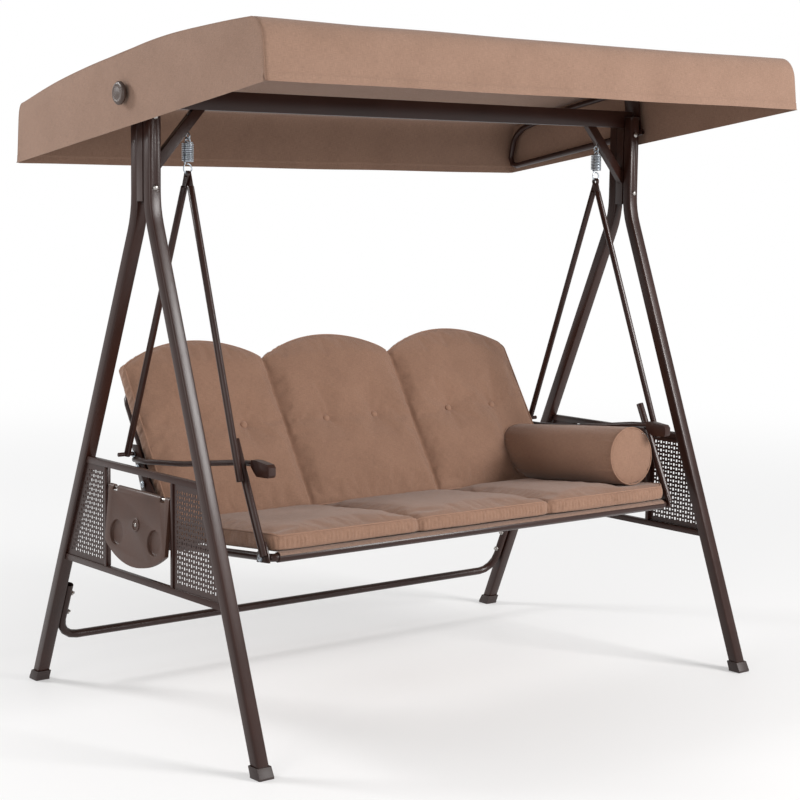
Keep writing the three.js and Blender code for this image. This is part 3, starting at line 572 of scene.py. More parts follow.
def plated_material(name, color, roughness, brushed=0.0006):
    """Plated steel with fine drawn lines and cloudy patches."""
    if name in bpy.data.materials:
        return bpy.data.materials[name]
    material, tree, shader = start_material(name, color, roughness, {"Metallic": 1.0})
    place = tree.nodes.new("ShaderNodeTexCoord").outputs["Object"]
    grain = use_group(tree, grain_group(), place, "Place", grain=900.0, patch=60.0)
    shade = ramp(tree, grain.outputs["Patches"], scaled(color, 0.72), scaled(color, 1.1))
    tree.links.new(shade, shader.inputs["Base Color"])
    rough = maths(tree, "MULTIPLY_ADD", grain.outputs["Patches"], 0.25, roughness - 0.1)
    tree.links.new(rough, shader.inputs["Roughness"])
    bumped(tree, shader, grain.outputs["Height"], brushed * 0.2)
    return material


def plastic_material(name, color, roughness, grain_size=1100.0, depth=0.00022):
    """Moulded plastic with a fine leather grain and slightly paler worn patches."""
    if name in bpy.data.materials:
        return bpy.data.materials[name]
    material, tree, shader = start_material(name, color, roughness, {"Specular IOR Level": 0.45})
    place = tree.nodes.new("ShaderNodeTexCoord").outputs["Object"]
    grain = use_group(tree, grain_group(), place, "Place", grain=grain_size, patch=14.0)
    shade = ramp(tree, grain.outputs["Patches"], scaled(color, 0.86), scaled(color, 1.14))
    dust = maths(tree, "MULTIPLY", grain.outputs["Dust"], 0.12)
    dusty = blend_colors(tree, dust, shade, (0.40, 0.34, 0.30))
    tree.links.new(dusty, shader.inputs["Base Color"])
    rough = maths(tree, "MULTIPLY_ADD", grain.outputs["Patches"], 0.2, roughness - 0.1)
    tree.links.new(rough, shader.inputs["Roughness"])
    bumped(tree, shader, grain.outputs["Height"], depth)
    return material


def cushion_cloth():
    return cloth_material("Cushion cloth", tuple(bpy.context.scene.swing_colors.cushion))


def piping_cloth():
    color = tuple(bpy.context.scene.swing_colors.cushion)
    return cloth_material("Piping cloth", scaled(color, 1.12), threads=700.0)


def canopy_cloth():
    return cloth_material("Canopy cloth", tuple(bpy.context.scene.swing_colors.canopy), threads=800.0)


def sling_cloth():
    color = tuple(bpy.context.scene.swing_colors.sling)
    return cloth_material("Sling cloth", color, threads=330.0, bump=0.0009, contrast=0.3)


def zinc_plate():
    return plated_material("Zinc plate", tuple(bpy.context.scene.swing_colors.zinc), 0.3)


def bolt_steel():
    return plated_material("Bolt steel", (0.42, 0.40, 0.38), 0.34)


def tray_plastic():
    return plastic_material("Tray plastic", tuple(bpy.context.scene.swing_colors.tray), 0.42)


def knob_plastic():
    return plastic_material("Knob plastic", (0.055, 0.032, 0.023), 0.42)


def foot_plastic():
    return plastic_material("Foot plastic", (0.030, 0.018, 0.016), 0.5)


MATERIAL_OF_SLOT = {
    "frame_paint": paint_material,
    "zinc": zinc_plate,
    "bolt_steel": bolt_steel,
    "tray_plastic": tray_plastic,
    "knob_plastic": knob_plastic,
    "foot_plastic": foot_plastic,
    "cushion_fabric": cushion_cloth,
    "canopy_fabric": canopy_cloth,
    "sling_fabric": sling_cloth,
}


# ---------- settings ----------


class SwingColors(bpy.types.PropertyGroup):
    """Colours of the swing's finishes."""

    cushion: FloatVectorProperty(
        name="Cushions", description="Woven polyester of the pads", subtype="COLOR", size=3,
        default=(0.262, 0.150, 0.101), min=0, max=1,
    )
    canopy: FloatVectorProperty(
        name="Canopy", description="Woven polyester of the canopy", subtype="COLOR", size=3,
        default=(0.262, 0.160, 0.113), min=0, max=1,
    )
    sling: FloatVectorProperty(
        name="Slings", description="Coarse sling cloth under the pads", subtype="COLOR", size=3,
        default=(0.22, 0.14, 0.105), min=0, max=1,
    )
    paint: FloatVectorProperty(
        name="Frame", description="Powder coat of the tubes and panels", subtype="COLOR", size=3,
        default=(0.026, 0.0090, 0.0060), min=0, max=1,
    )
    tray: FloatVectorProperty(
        name="Trays", description="Moulded plastic of the cup trays", subtype="COLOR", size=3,
        default=(0.055, 0.022, 0.0125), min=0, max=1,
    )
    zinc: FloatVectorProperty(
        name="Springs", description="Zinc plate of the springs and eyes", subtype="COLOR", size=3,
        default=(0.50, 0.55, 0.60), min=0, max=1,
    )


class SwingSizes(bpy.types.PropertyGroup):
    """Sizes of the soft and fine detail."""

    seat_crown: FloatProperty(
        name="Seat crown", description="How far the seat pad's sections rise", unit="LENGTH",
        default=0.013, min=0, max=0.03,
    )
    back_crown: FloatProperty(
        name="Back crown", description="How far the back pad's sections rise", unit="LENGTH",
        default=0.016, min=0, max=0.03,
    )
    pucker: FloatProperty(
        name="Puckers", description="Depth of the gathers in the boxing", unit="LENGTH",
        default=0.0016, min=0, max=0.005,
    )
    piping: FloatProperty(
        name="Piping", description="Radius of the piped seams", unit="LENGTH",
        default=0.0022, min=0.001, max=0.005,
    )
    roof_sag: FloatProperty(
        name="Roof sag", description="Sag of the canopy between its bars", unit="LENGTH",
        default=0.009, min=0, max=0.03,
    )
    panel_pitch: FloatProperty(
        name="Panel pitch", description="Width of one cell of the perforated panels", unit="LENGTH",
        default=0.0115, min=0.008, max=0.03,
    )
    swell_steps: IntProperty(
        name="Swell steps", description="Frames of cloth simulation for each pad",
        default=20, min=1, max=60,
    )


# ---------- soft goods ----------


def perimeter(columns, rows):
    """Grid places round the edge: front, right, rear, left."""
    ring = [(i, 0) for i in range(columns)]
    ring += [(columns - 1, j) for j in range(1, rows)]
    ring += [(i, rows - 1) for i in range(columns - 2, -1, -1)]
    ring += [(0, j) for j in range(rows - 2, 0, -1)]
    return ring


def pad_mesh(name, across, along, plan, top, base, bulge, place, box_rows=7):
    """A closed pad: top and bottom grids joined by boxing, as an object with helper attributes."""
    columns, rows = len(across), len(along)
    flat = np.array([[plan(a, t) for t in along] for a in across])
    points = []
    for i, a in enumerate(across):
        for j in range(rows):
            x, y = flat[i, j]
            points.append((x, y, top(x, y, along[j])))
    for i in range(columns):
        for j in range(rows):
            points.append((*flat[i, j], base))
    boxing = [0.0] * len(points)
    run = [0.0] * len(points)
    ring = perimeter(columns, rows)
    count = columns * rows
    length = 0.0
    box_start = len(points)
    last = None
    lengths = []
    for i, j in ring:
        here = Vector((*flat[i, j], 0))
        length += 0 if last is None else (here - last).length
        lengths.append(length)
        last = here
    for k in range(1, box_rows):
        share = k / box_rows
        for step, (i, j) in enumerate(ring):
            before = Vector((*flat[ring[step - 1]], 0))
            after = Vector((*flat[ring[(step + 1) % len(ring)]], 0))
            run_dir = (after - before).normalized()
            out = Vector((run_dir.y, -run_dir.x, 0))
            x, y, high = points[i * rows + j]
            swell = bulge * (math.sin(math.pi * share) ** 0.6)
            points.append((x + out.x * swell, y + out.y * swell, high + (base - high) * share))
            boxing.append(math.sin(math.pi * share))
            run.append(lengths[step])
    faces = []
    for i in range(columns - 1):
        for j in range(rows - 1):
            a, b = i * rows + j, (i + 1) * rows + j
            faces.append((a, b, b + 1, a + 1))
            faces.append((count + a, count + a + 1, count + b + 1, count + b))
    rim = [i * rows + j for i, j in ring]
    levels = [rim]
    for k in range(box_rows - 1):
        levels.append([box_start + k * len(ring) + s for s in range(len(ring))])
    levels.append([count + r for r in rim])
    for upper, lower in zip(levels, levels[1:]):
        for s in range(len(ring)):
            n = (s + 1) % len(ring)
            faces.append((upper[s], lower[s], lower[n], upper[n]))
    obj = from_points(name, [place(*p) for p in points], faces)
    for label, values in (("boxing", boxing), ("run", run)):
        attribute = obj.data.attributes.new(label, "FLOAT", "POINT")
        attribute.data.foreach_set("value", values)
    held = obj.vertex_groups.new(name="held")
    held.add(list(range(count, 2 * count)) + rim, 1.0, "REPLACE")
    return obj, [points[r] for r in rim]


def swell(obj, pressure, cap, held_extra=()):
    """Inflates the pad by a short cloth simulation with its seams held, and keeps what it gained."""
    steps = bpy.context.scene.swing_sizes.swell_steps
    if held_extra:
        obj.vertex_groups["held"].add(list(held_extra), 1.0, "REPLACE")
    rest = np.zeros(len(obj.data.vertices) * 3)
    obj.data.vertices.foreach_get("co", rest)
    only(obj)
    modifier = obj.modifiers.new("Swell", "CLOTH")
    cloth = modifier.settings
    cloth.quality = 3
    cloth.mass = 0.25
    cloth.use_pressure = True
    cloth.uniform_pressure_force = pressure
    cloth.tension_stiffness = 40
    cloth.compression_stiffness = 40
    cloth.shear_stiffness = 12
    cloth.bending_stiffness = 1.5
    cloth.shrink_min = -0.012
    cloth.vertex_group_mass = "held"
    cloth.effector_weights.gravity = 0
    modifier.point_cache.frame_end = steps
    for step in range(1, steps + 1):
        bpy.context.scene.frame_set(step)
    shown = obj.evaluated_get(bpy.context.evaluated_depsgraph_get())
    moved = np.zeros(len(rest))
    shown.data.vertices.foreach_get("co", moved)
    shift = (moved - rest).reshape(-1, 3)
    far = np.linalg.norm(shift, axis=1, keepdims=True)
    shift *= np.minimum(1.0, cap / np.maximum(far, 1e-9))
    obj.modifiers.remove(modifier)
    bpy.context.scene.frame_set(1)
    obj.data.vertices.foreach_set("co", (rest + shift.ravel()))
    obj.data.update()


def gather(obj, depth, period, slant=0.0):
    """Sews puckers into the boxing and a faint unevenness into the rest, along the normals."""
    mesh = obj.data
    boxing = np.zeros(len(mesh.vertices))
    run = np.zeros(len(mesh.vertices))
    mesh.attributes["boxing"].data.foreach_get("value", boxing)
    mesh.attributes["run"].data.foreach_get("value", run)
    places = np.zeros(len(mesh.vertices) * 3)
    mesh.vertices.foreach_get("co", places)
    places = places.reshape(-1, 3)
    normals = np.zeros(len(mesh.vertices) * 3)
    mesh.vertices.foreach_get("normal", normals)
    shift = np.zeros(len(mesh.vertices))
    for index, spot in enumerate(places.tolist()):
        place = Vector(spot)
        shift[index] = noise.noise(place * 9) * 0.0012 + noise.noise(place * 38) * 0.0004
        if boxing[index] > 0.02:
            along = run[index] + slant * place.z
            drift = 3.5 * noise.noise(Vector((along * 13, 0.3, place.z * 6)))
            phase = FULL_TURN * along / period + drift
            strength = 0.25 + 1.5 * abs(noise.noise(Vector((along * 19, 4.1, place.z * 9))))
            wave = math.sin(phase) + 0.6 * math.sin(1.7 * phase + 3 * place.z)
            shift[index] += depth * boxing[index] * strength * wave
    places += normals.reshape(-1, 3) * shift[:, None]
    mesh.vertices.foreach_set("co", places.ravel())
    mesh.update()


def crown(share, power=5):
    """1 in the middle and 0 at either end of -1 to 1."""
    return 1 - min(1.0, abs(share)) ** power


def near(distance, width):
    return math.exp(-((distance / width) ** 2))


def smooth_step(value):
    value = min(1.0, max(0.0, value))
    return value * value * (3 - 2 * value)


def subdivided(obj):
    apply_modifier(obj, "SUBSURF", levels=1, render_levels=1)


def section_share(a, edges):
    """Place of a within its section, from -1 to 1, and the distance to the nearest inner seam."""
    for low, high in zip(edges, edges[1:]):
        if low <= a <= high:
            break
    share = (2 * a - low - high) / (high - low)
    return share, min(abs(a - edge) for edge in edges[1:-1])


def grid_steps(low, high, step):
    count = max(2, round((high - low) / step))
    return [low + (high - low) * i / count for i in range(count + 1)]


def piped(name, points, body, slot):
    """A piped seam along the edge of a pad, riding on the pad's body."""
    cord = wire(name, points, bpy.context.scene.swing_sizes.piping, closed=True, sides=2)
    box_uv(cord)
    return give(cord, body, slot, piping_cloth())


def bolster_press(a):
    """1 where the bolster lies across a pad, 0 away from it."""
    return smooth_step(1 - (abs(a - BOLSTER_X) - 0.055) / 0.04)


class SWING_OT_seat_pad(bpy.types.Operator):
    """Sews the three-section seat pad with its gathered boxing and piping"""

    bl_idname = "swing.seat_pad"
    bl_label = "Seat pad"

    def execute(self, context):
        sizes = context.scene.swing_sizes
        edges = (-SEAT_HALF, *SEAT_SEAMS, SEAT_HALF)
        half_deep = (SEAT_REAR - SEAT_FRONT) / 2
        mid_deep = (SEAT_REAR + SEAT_FRONT) / 2
        corner = 0.03

        def plan(a, t):
            b = SEAT_FRONT + (SEAT_REAR - SEAT_FRONT) * t
            share, seam = section_share(a, edges)
            past_a, past_b = abs(a) - (SEAT_HALF - corner), abs(b - mid_deep) - (half_deep - corner)
            if past_a > 0 and past_b > 0:
                shrink = max(past_a, past_b) / math.hypot(past_a, past_b)
                a = math.copysign(SEAT_HALF - corner + past_a * shrink, a)
                b = mid_deep + math.copysign(half_deep - corner + past_b * shrink, b - mid_deep)
            front = (1 - t) ** 6
            pull = 0.010 * near(seam, 0.012) - 0.004 * crown(share, 4)
            return a, b + front * pull

        def top(a, b, t):
            share, seam = section_share(max(-SEAT_HALF, min(SEAT_HALF, a)), edges)
            deep = (b - mid_deep) / half_deep
            rise = sizes.seat_crown * crown(share, 4) * crown(deep, 5)
            rise *= 1 - bolster_press(a) * (1 if b > BOLSTER_FRONT - 0.02 else 0.6)
            groove = 0.010 * near(seam, 0.006) + 0.004 * near(seam, 0.022)
            folds = 0.0010 * math.sin(FULL_TURN * b / 0.031 + 3 * a) * math.exp(-seam / 0.03)
            roll = 0.006 * smooth_step((abs(deep) - 0.93) / 0.07)
            return PAD_BASE + PAD_THICK + rise - groove - roll + folds

        across = grid_steps(-SEAT_HALF, SEAT_HALF, 0.0062)
        along = grid_steps(0, 1, 0.021)
        pad, rim = pad_mesh("seat_pad", across, along, plan, top, PAD_BASE, 0.005, seat_point)
        rows = len(along)
        seams = [
            i * rows + j for i, a in enumerate(across) for j in range(rows)
            if min(abs(a - seam) for seam in SEAT_SEAMS) < 0.006 or bolster_press(a) > 0.5
        ]
        swell(pad, 1.6, 0.006, seams)
        subdivided(pad)
        gather(pad, sizes.pucker, 0.0125)
        smooth(pad, 180)
        box_uv(pad, lean_matrix(SEAT_LEAN))
        give(pad, "seat", "cushion_fabric", cushion_cloth(), ["seat_cushion"])
        piped("seat_pad_piping", [seat_point(*point) for point in rim], "seat", "cushion_fabric")
        return {"FINISHED"}


def scallop(a):
    """Height of the back pad's edge above its foot line, at a place across it."""
    radius = BACK_SECTION**2 / (8 * SCALLOP) + SCALLOP / 2
    section = round(a / BACK_SECTION)
    off = a - max(-1, min(1, section)) * BACK_SECTION
    off = max(-BACK_SECTION / 2, min(BACK_SECTION / 2, off))
    return SHOULDER + SCALLOP - radius + math.sqrt(radius**2 - off**2)


def button_places():
    return [
        (k * BACK_SECTION + side * BUTTON_APART, BUTTON_UP)
        for k in (-1, 0, 1) for side in (-1, 1)
    ]


class SWING_OT_back_pad(bpy.types.Operator):
    """Sews the back pad: three scalloped sections, two buttons in each, ruffled boxing"""

    bl_idname = "swing.back_pad"
    bl_label = "Back pad"

    def execute(self, context):
        sizes = context.scene.swing_sizes
        edges = (-BACK_HALF, -BACK_SECTION / 2, BACK_SECTION / 2, BACK_HALF)
        buttons = button_places()
        corner = 0.028

        def plan(a, t):
            up = BACK_LOW + (scallop(a) - BACK_LOW) * t
            past_a, past_up = abs(a) - (BACK_HALF - corner), BACK_LOW + corner - up
            if past_a > 0 and past_up > 0:
                shrink = max(past_a, past_up) / math.hypot(past_a, past_up)
                a = math.copysign(BACK_HALF - corner + past_a * shrink, a)
                up = BACK_LOW + corner - past_up * shrink
            return a, up

        def dimple(a, up):
            depth = 0.0
            for x, y in buttons:
                off_a, off_up = a - x, up - y
                away = math.hypot(off_a, off_up)
                depth += 0.018 * math.exp(-away / 0.018) + 0.006 * near(away, 0.055)
                angle = math.atan2(off_up, off_a)
                fold = 0.5 + 0.5 * math.cos(2 * angle) + 0.35 * math.cos(6 * angle + x * 9)
                depth += 0.0060 * fold * math.exp(-away / 0.042) * smooth_step(away / 0.008)
            return depth

        def top(a, up, t):
            share, seam = section_share(max(-BACK_HALF, min(BACK_HALF, a)), edges)
            rise = sizes.back_crown * crown(share, 4) * crown(2 * t - 1, 6)
            pressed = bolster_press(a) * smooth_step((0.06 - up) / 0.05)
            rise *= 1 - pressed
            groove = 0.012 * near(seam, 0.0055) + 0.005 * near(seam, 0.024)
            roll = 0.006 * smooth_step((abs(2 * t - 1) - 0.95) / 0.05)
            roll += 0.006 * smooth_step((abs(a) - BACK_HALF + 0.02) / 0.02)
            folds = 0.0010 * math.sin(FULL_TURN * up / 0.047 + 5 * a) * math.exp(-seam / 0.035)
            return BACK_BASE + PAD_THICK + rise - groove - roll + folds - dimple(a, up) * (1 - pressed)

        across = grid_steps(-BACK_HALF, BACK_HALF, 0.0067)
        along = grid_steps(0, 1, 0.0155)
        pad, rim = pad_mesh("back_pad", across, along, plan, top, BACK_BASE, 0.004, back_point)
        rows = len(along)
        pinned = []
        for i, a in enumerate(across):
            seam = min(abs(a - edge) for edge in edges[1:-1])
            for j, t in enumerate(along):
                up = plan(a, t)[1]
                on_button = min(math.hypot(a - x, up - y) for x, y in buttons) < 0.010
                if seam < 0.006 or on_button or (bolster_press(a) > 0.5 and up < 0.05):
                    pinned.append(i * rows + j)
        swell(pad, 1.8, 0.007, pinned)
        subdivided(pad)
        gather(pad, sizes.pucker * 1.3, 0.017, slant=0.4)
        smooth(pad, 180)
        box_uv(pad, lean_matrix(BACK_LEAN))
        give(pad, "seat", "cushion_fabric", cushion_cloth(), ["back_cushion"])
        piped("back_pad_piping", [back_point(*point) for point in rim], "seat", "cushion_fabric")
        self.buttons(buttons, sizes)
        return {"FINISHED"}

    def buttons(self, places, sizes):
        out = BACK_BASE + PAD_THICK + sizes.back_crown - 0.0215
        profile = [
            (0.0070, -0.002), (0.0108, 0.0), (0.0120, 0.0028),
            (0.0104, 0.0056), (0.0062, 0.0076), (0.0012, 0.0084),
        ]
        face = back_point(0, 0, 1) - back_point(0, 0, 0)
        for number, (a, up) in enumerate(places, 1):
            button = turned(f"back_button_{number}", profile, back_point(a, up, out), face, 24)
            smooth(button, 60)
            box_uv(button, lean_matrix(BACK_LEAN))
            give(button, "seat", "cushion_fabric", piping_cloth())


class SWING_OT_bolster(bpy.types.Operator):
    """Sews the round bolster pillow with piped, gathered ends"""

    bl_idname = "swing.bolster"
    bl_label = "Bolster"

    def execute(self, context):
        around, rows = 144, 72
        h = PAD_BASE + PAD_THICK + 0.0006 + BOLSTER_RADIUS
        front = seat_point(BOLSTER_X, BOLSTER_FRONT, h)
        axis = (seat_point(0, 1, 0) - seat_point(0, 0, 0)).normalized()
        up = (seat_point(0, 0, 1) - seat_point(0, 0, 0)).normalized()
        across = Vector((1, 0, 0))
        face_out = (back_point(0, 0, 1) - back_point(0, 0, 0)).normalized()
        on_face = back_point(0, 0, BACK_BASE + PAD_THICK + 0.0012)

        def rim_point(angle, radius, along):
            return front + axis * along + (across * math.cos(angle) + up * math.sin(angle)) * radius

        def reach(angle):
            start = rim_point(angle, BOLSTER_RADIUS, 0)
            length = (on_face - start).dot(face_out) / axis.dot(face_out)
            return min(BOLSTER_LONG, length)

        def radius_at(angle, s, length):
            to_end = min(s, length - s)
            pull = 0.004 * math.exp(-to_end / 0.010)
            belly = 0.0012 * math.sin(math.pi * s / length)
            folds = 0.0
            for count, lean, phase in ((17, 9.0, 0.4), (29, -6.0, 1.7), (41, 4.0, 2.6)):
                folds += math.cos(count * angle + lean * s + phase)
            patchy = 0.5 + 0.8 * noise.noise(Vector((angle * 2.0, s * 8, 0)))
            depth = 0.0011 * math.exp(-to_end / 0.028) * patchy
            slow = 0.0015 * noise.noise(Vector((math.cos(angle) * 2, math.sin(angle) * 2, s * 7)))
            flat = 0.0
            down = -math.sin(angle)
            if down > 0.93:
                flat = 0.0006 * (down - 0.93) / 0.07
            return BOLSTER_RADIUS - 0.0018 - pull + belly + folds * depth + slow - flat

        points, faces = [], []
        for j in range(rows + 1):
            share = 0.5 - 0.5 * math.cos(math.pi * j / rows)
            for i in range(around):
                angle = FULL_TURN * i / around
                length = reach(angle)
                points.append(rim_point(angle, radius_at(angle, share * length, length), share * length))
        for j in range(rows):
            for i in range(around):
                n = (i + 1) % around
                a, b = j * around, (j + 1) * around
                faces.append((a + i, b + i, b + n, a + n))
        for end, start in ((0, 0), (1, rows * around)):
            rim = [start + i for i in range(around)]
            centre = sum((points[r] for r in rim), Vector()) / around
            rings = [rim]
            for ring_share in (0.94, 0.8, 0.6, 0.4, 0.2):
                ring = []
                for i in range(around):
                    base = centre.lerp(points[rim[i]], ring_share)
                    dome = 0.006 * (1 - ring_share**2) if end == 0 else 0.0
                    crease = 0.0005 * math.cos(13 * FULL_TURN * i / around) * ring_share**4
                    ring.append(len(points))
                    points.append(base - axis * (dome + crease if end == 0 else 0))
                rings.append(ring)
            tip = len(points)
            points.append(centre - axis * (0.006 if end == 0 else 0))
            for outer, inner in zip(rings, rings[1:]):
                for i in range(around):
                    n = (i + 1) % around
                    face = (outer[i], outer[n], inner[n], inner[i])
                    faces.append(face if end == 0 else face[::-1])
            for i in range(around):
                n = (i + 1) % around
                face = (rings[-1][i], rings[-1][n], tip)
                faces.append(face if end == 0 else face[::-1])
        pillow = from_points("bolster_roll", points, faces)
        tidy_normals(pillow)
        smooth(pillow, 75)
        box_uv(pillow, lean_matrix(SEAT_LEAN))
        give(pillow, "seat", "cushion_fabric", cushion_cloth(), ["bolster_pillow"])
        for word, share in (("front", 0.0), ("rear", 1.0)):
            ring = []
            for i in range(96):
                angle = FULL_TURN * i / 96
                along = share * reach(angle) + (0.002 if share else 0)
                ring.append(rim_point(angle, BOLSTER_RADIUS - 0.0036, along))
            if share:
                ring = [point + face_out * 0.003 for point in ring]
            piped(f"bolster_{word}_piping", ring, "seat", "cushion_fabric")
        return {"FINISHED"}


def roof(u):
    """Height of the roof's curve at a place from front to rear."""
    return CROWN - (u - ROOF_TOP_AT) ** 2 / (2 * ROOF_RADIUS)


def canopy_profile():
    """The canopy's end view as (u, v) from the front hem over the roof to the rear hem."""
    points = []
    fold = HEM + HEM_FOLD
    rows = (HEM, HEM + 0.002, fold - 0.004, fold - 0.001, fold + 0.001, fold + 0.005)
    rows += (-0.045, -0.03, -0.015, 0.0)
    for v in rows:
        share = (v - HEM) / (NOSE[1] - HEM)
        points.append((HEM_FRONT + (NOSE[0] - HEM_FRONT) * share, v))
    drop = roof(FRONT_SHOULDER) - NOSE[1]
    for step in range(13):
        angle = math.pi / 2 * (1 - step / 12)
        u = FRONT_SHOULDER - (FRONT_SHOULDER - NOSE[0]) * math.sin(angle)
        points.append((u, roof(FRONT_SHOULDER) - drop * (1 - math.cos(angle))))
    for u in grid_steps(FRONT_SHOULDER, REAR_SHOULDER, 0.02)[1:]:
        points.append((u, roof(u)))
    start = Vector(points[-1])
    corner = Vector((0.590, roof(0.588)))
    end = Vector((0.600, 0.036))
    for step in range(1, 8):
        t = step / 7
        points.append(tuple(start * (1 - t) ** 2 + corner * 2 * t * (1 - t) + end * t * t))
    for v in (0.02, *reversed(rows)):
        share = (v - HEM) / (end.y - HEM)
        points.append((HEM_REAR + (end.x - HEM_REAR) * share, v))
    return points


def hem_step(v):
    """How far the folded hem stands out, with the stitch line that pulls in above it."""
    above = v - HEM
    if above < HEM_FOLD - 0.0005:
        return 0.0009
    return -0.0006 if above < HEM_FOLD + 0.002 else 0.0


class SWING_OT_canopy(bpy.types.Operator):
    """Sews the canopy as one continuous sheet with closed ends, folded hem and piped end seams"""

    bl_idname = "swing.canopy"
    bl_label = "Canopy"

    def execute(self, context):
        sag = context.scene.swing_sizes.roof_sag
        profile = canopy_profile()
        centre = Vector((0.0, 0.02))
        edge = 0.012
        xs = [-CANOPY_HALF + edge * (1 - math.cos(math.pi / 2 * k / 5)) for k in range(6)]
        inner = grid_steps(-CANOPY_HALF + edge, CANOPY_HALF - edge, 0.0155)
        xs = xs[:-1] + inner + [-x for x in reversed(xs[:-1])]
        rows = len(profile)

        def surface(x, u, v):
            past = max(0.0, abs(x) - (CANOPY_HALF - edge))
            inset = edge - math.sqrt(max(0.0, edge**2 - past**2))
            share_x = x / CANOPY_HALF
            on_roof = smooth_step((v - 0.045) / 0.03) if u < 0.56 else 0.0
            between = 0.45 + 0.55 * math.sin(math.pi * (u + 0.6) / 1.1) ** 2
            down = sag * (crown(share_x, 2.6)) * on_roof * between
            down += 0.0022 * on_roof * noise.noise(Vector((x * 3.1, u * 4.3, 0.4)))
            hang = smooth_step((0.03 - v) / 0.11)
            ripple = 0.0022 * noise.noise(Vector((x * 5, 0, v * 4)))
            drift = 0.0030 * math.sin(FULL_TURN * x / 0.63 + 0.9) + ripple
            out = hang * drift * crown(share_x, 8) + hem_step(v)
            front = u < centre.x
            if v > 0.03 and abs(u) < 0.59:
                out = 0.0
            lean = math.hypot(u - centre.x, v - centre.y)
            toward = Vector(((u - centre.x) / lean, (v - centre.y) / lean))
            return x, u - toward.x * inset + (-out if front else out), v - toward.y * inset - down

        points = [canopy_point(*surface(x, u, v)) for x in xs for u, v in profile]
        faces = []
        for i in range(len(xs) - 1):
            for j in range(rows - 1):
                a, b = i * rows + j, (i + 1) * rows + j
                faces.append((a, a + 1, b + 1, b))
        run = [0.0]
        for (u0, v0), (u1, v1) in zip(profile, profile[1:]):
            run.append(run[-1] + math.hypot(u1 - u0, v1 - v0))
        levels = (0.25, 0.5, 0.7, 0.84, 0.93, 1.0)
        for side, column in ((-1, 0), (1, len(xs) - 1)):
            rim = [column * rows + j for j in range(rows)]
            last = rim
            for level in levels:
                ring = []
                for j, (u, v) in enumerate(profile):
                    _, edge_u, edge_v = surface(side * CANOPY_HALF, u, v)
                    hem_u = HEM_FRONT + (HEM_REAR - HEM_FRONT) * run[j] / run[-1]
                    pu, pv = edge_u + (hem_u - edge_u) * level, edge_v + (HEM - edge_v) * level
                    billow = 0.0035 * noise.noise(Vector((pu * 4.0, pv * 7.0, side * 3.0)))
                    billow *= math.sin(math.pi * level) ** 0.5 if level < 1 else 0.4
                    x = side * (CANOPY_HALF + hem_step(pv) * 0.8) + billow
                    ring.append(len(points))
                    points.append(canopy_point(x, pu, pv))
                for j in range(rows - 1):
                    face = (last[j], last[j + 1], ring[j + 1], ring[j])
                    faces.append(face if side > 0 else face[::-1])
                last = ring
        cloth = from_points("canopy_cloth", points, faces)
        edit(cloth)
        bpy.ops.mesh.remove_doubles(threshold=0.0002)
        bpy.ops.mesh.normals_make_consistent(inside=False)
        leave_edit()
        apply_modifier(cloth, "SOLIDIFY", thickness=0.0016, offset=-1)
        smooth(cloth, 50)
        box_uv(cloth, lean_matrix(CANOPY_TILT))
        give(cloth, "canopy", "canopy_fabric", canopy_cloth(), ["canopy_cover"])
        for label, side in SIDES:
            line = [canopy_point(*surface(side * (CANOPY_HALF - 0.0015), u, v)) for u, v in profile]
            seam = wire(f"canopy_{label}_piping", line, 0.0016, sides=2)
            box_uv(seam)
            give(seam, "canopy", "canopy_fabric", canopy_cloth())
        return {"FINISHED"}


def strip_sheet(line, half, step=0.02):
    """A cloth strip: a line of (b, h) places drawn out across the seat or back."""
    xs = grid_steps(-half, half, step)
    rows = len(line)
    points = [(x, b, h - 0.0015 * crown(x / half, 2) * crown(2 * j / (rows - 1) - 1, 2)) for x in xs
              for j, (b, h) in enumerate(line)]
    faces = []
    for i in range(len(xs) - 1):
        for j in range(rows - 1):
            a, b = i * rows + j, (i + 1) * rows + j
            faces.append((a, b, b + 1, a + 1))
    length = sum(math.dist(p, q) for p, q in zip(line, line[1:]))
    return points, faces, length


class SWING_OT_slings(bpy.types.Operator):
    """Stretches the woven slings over the seat and back frames"""

    bl_idname = "swing.slings"
    bl_label = "Slings"

    def execute(self, context):
        wrap = RAIL_RADIUS + 0.0010
        line = [(b, RAIL_RADIUS + 0.0012) for b in (0.471, 0.36, 0.24, 0.12, 0.03)]
        for step in range(9):
            angle = math.radians(90 + 9 * step)
            line.append((wrap * math.cos(angle), wrap * math.sin(angle)))
        rails = ["seat_front_rail", "seat_rear_rail"]
        self.sling("seat_sling_cloth", line, 0.714, seat_point, ["seat_sling"], rails)
        tube = 0.0112
        line = [(up, tube + 0.0010) for up in (BACK_LOW + 0.02, -0.12, 0.0, 0.1, 0.17)]
        for step in range(9):
            angle = math.radians(90 - 15 * step)
            line.append((0.196 + tube * math.cos(angle), tube * math.sin(angle)))
        self.sling("back_sling_cloth", line, 0.700, back_point, ["back_sling"], ["back_frame"])
        return {"FINISHED"}

    def sling(self, name, line, half, place, replaces, rests_on):
        points, faces, length = strip_sheet(line, half)
        cloth = from_points(name, [place(*point) for point in points], faces)
        edit(cloth)
        bpy.ops.mesh.normals_make_consistent(inside=False)
        leave_edit()
        apply_modifier(cloth, "SOLIDIFY", thickness=0.0012, offset=0)
        smooth(cloth, 60)
        box_uv(cloth, lean_matrix(SEAT_LEAN if place is seat_point else BACK_LEAN))
        give(cloth, "seat", "sling_fabric", sling_cloth(), replaces)
        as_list(rests_on)


# ---------- metal, panels and plastic ----------


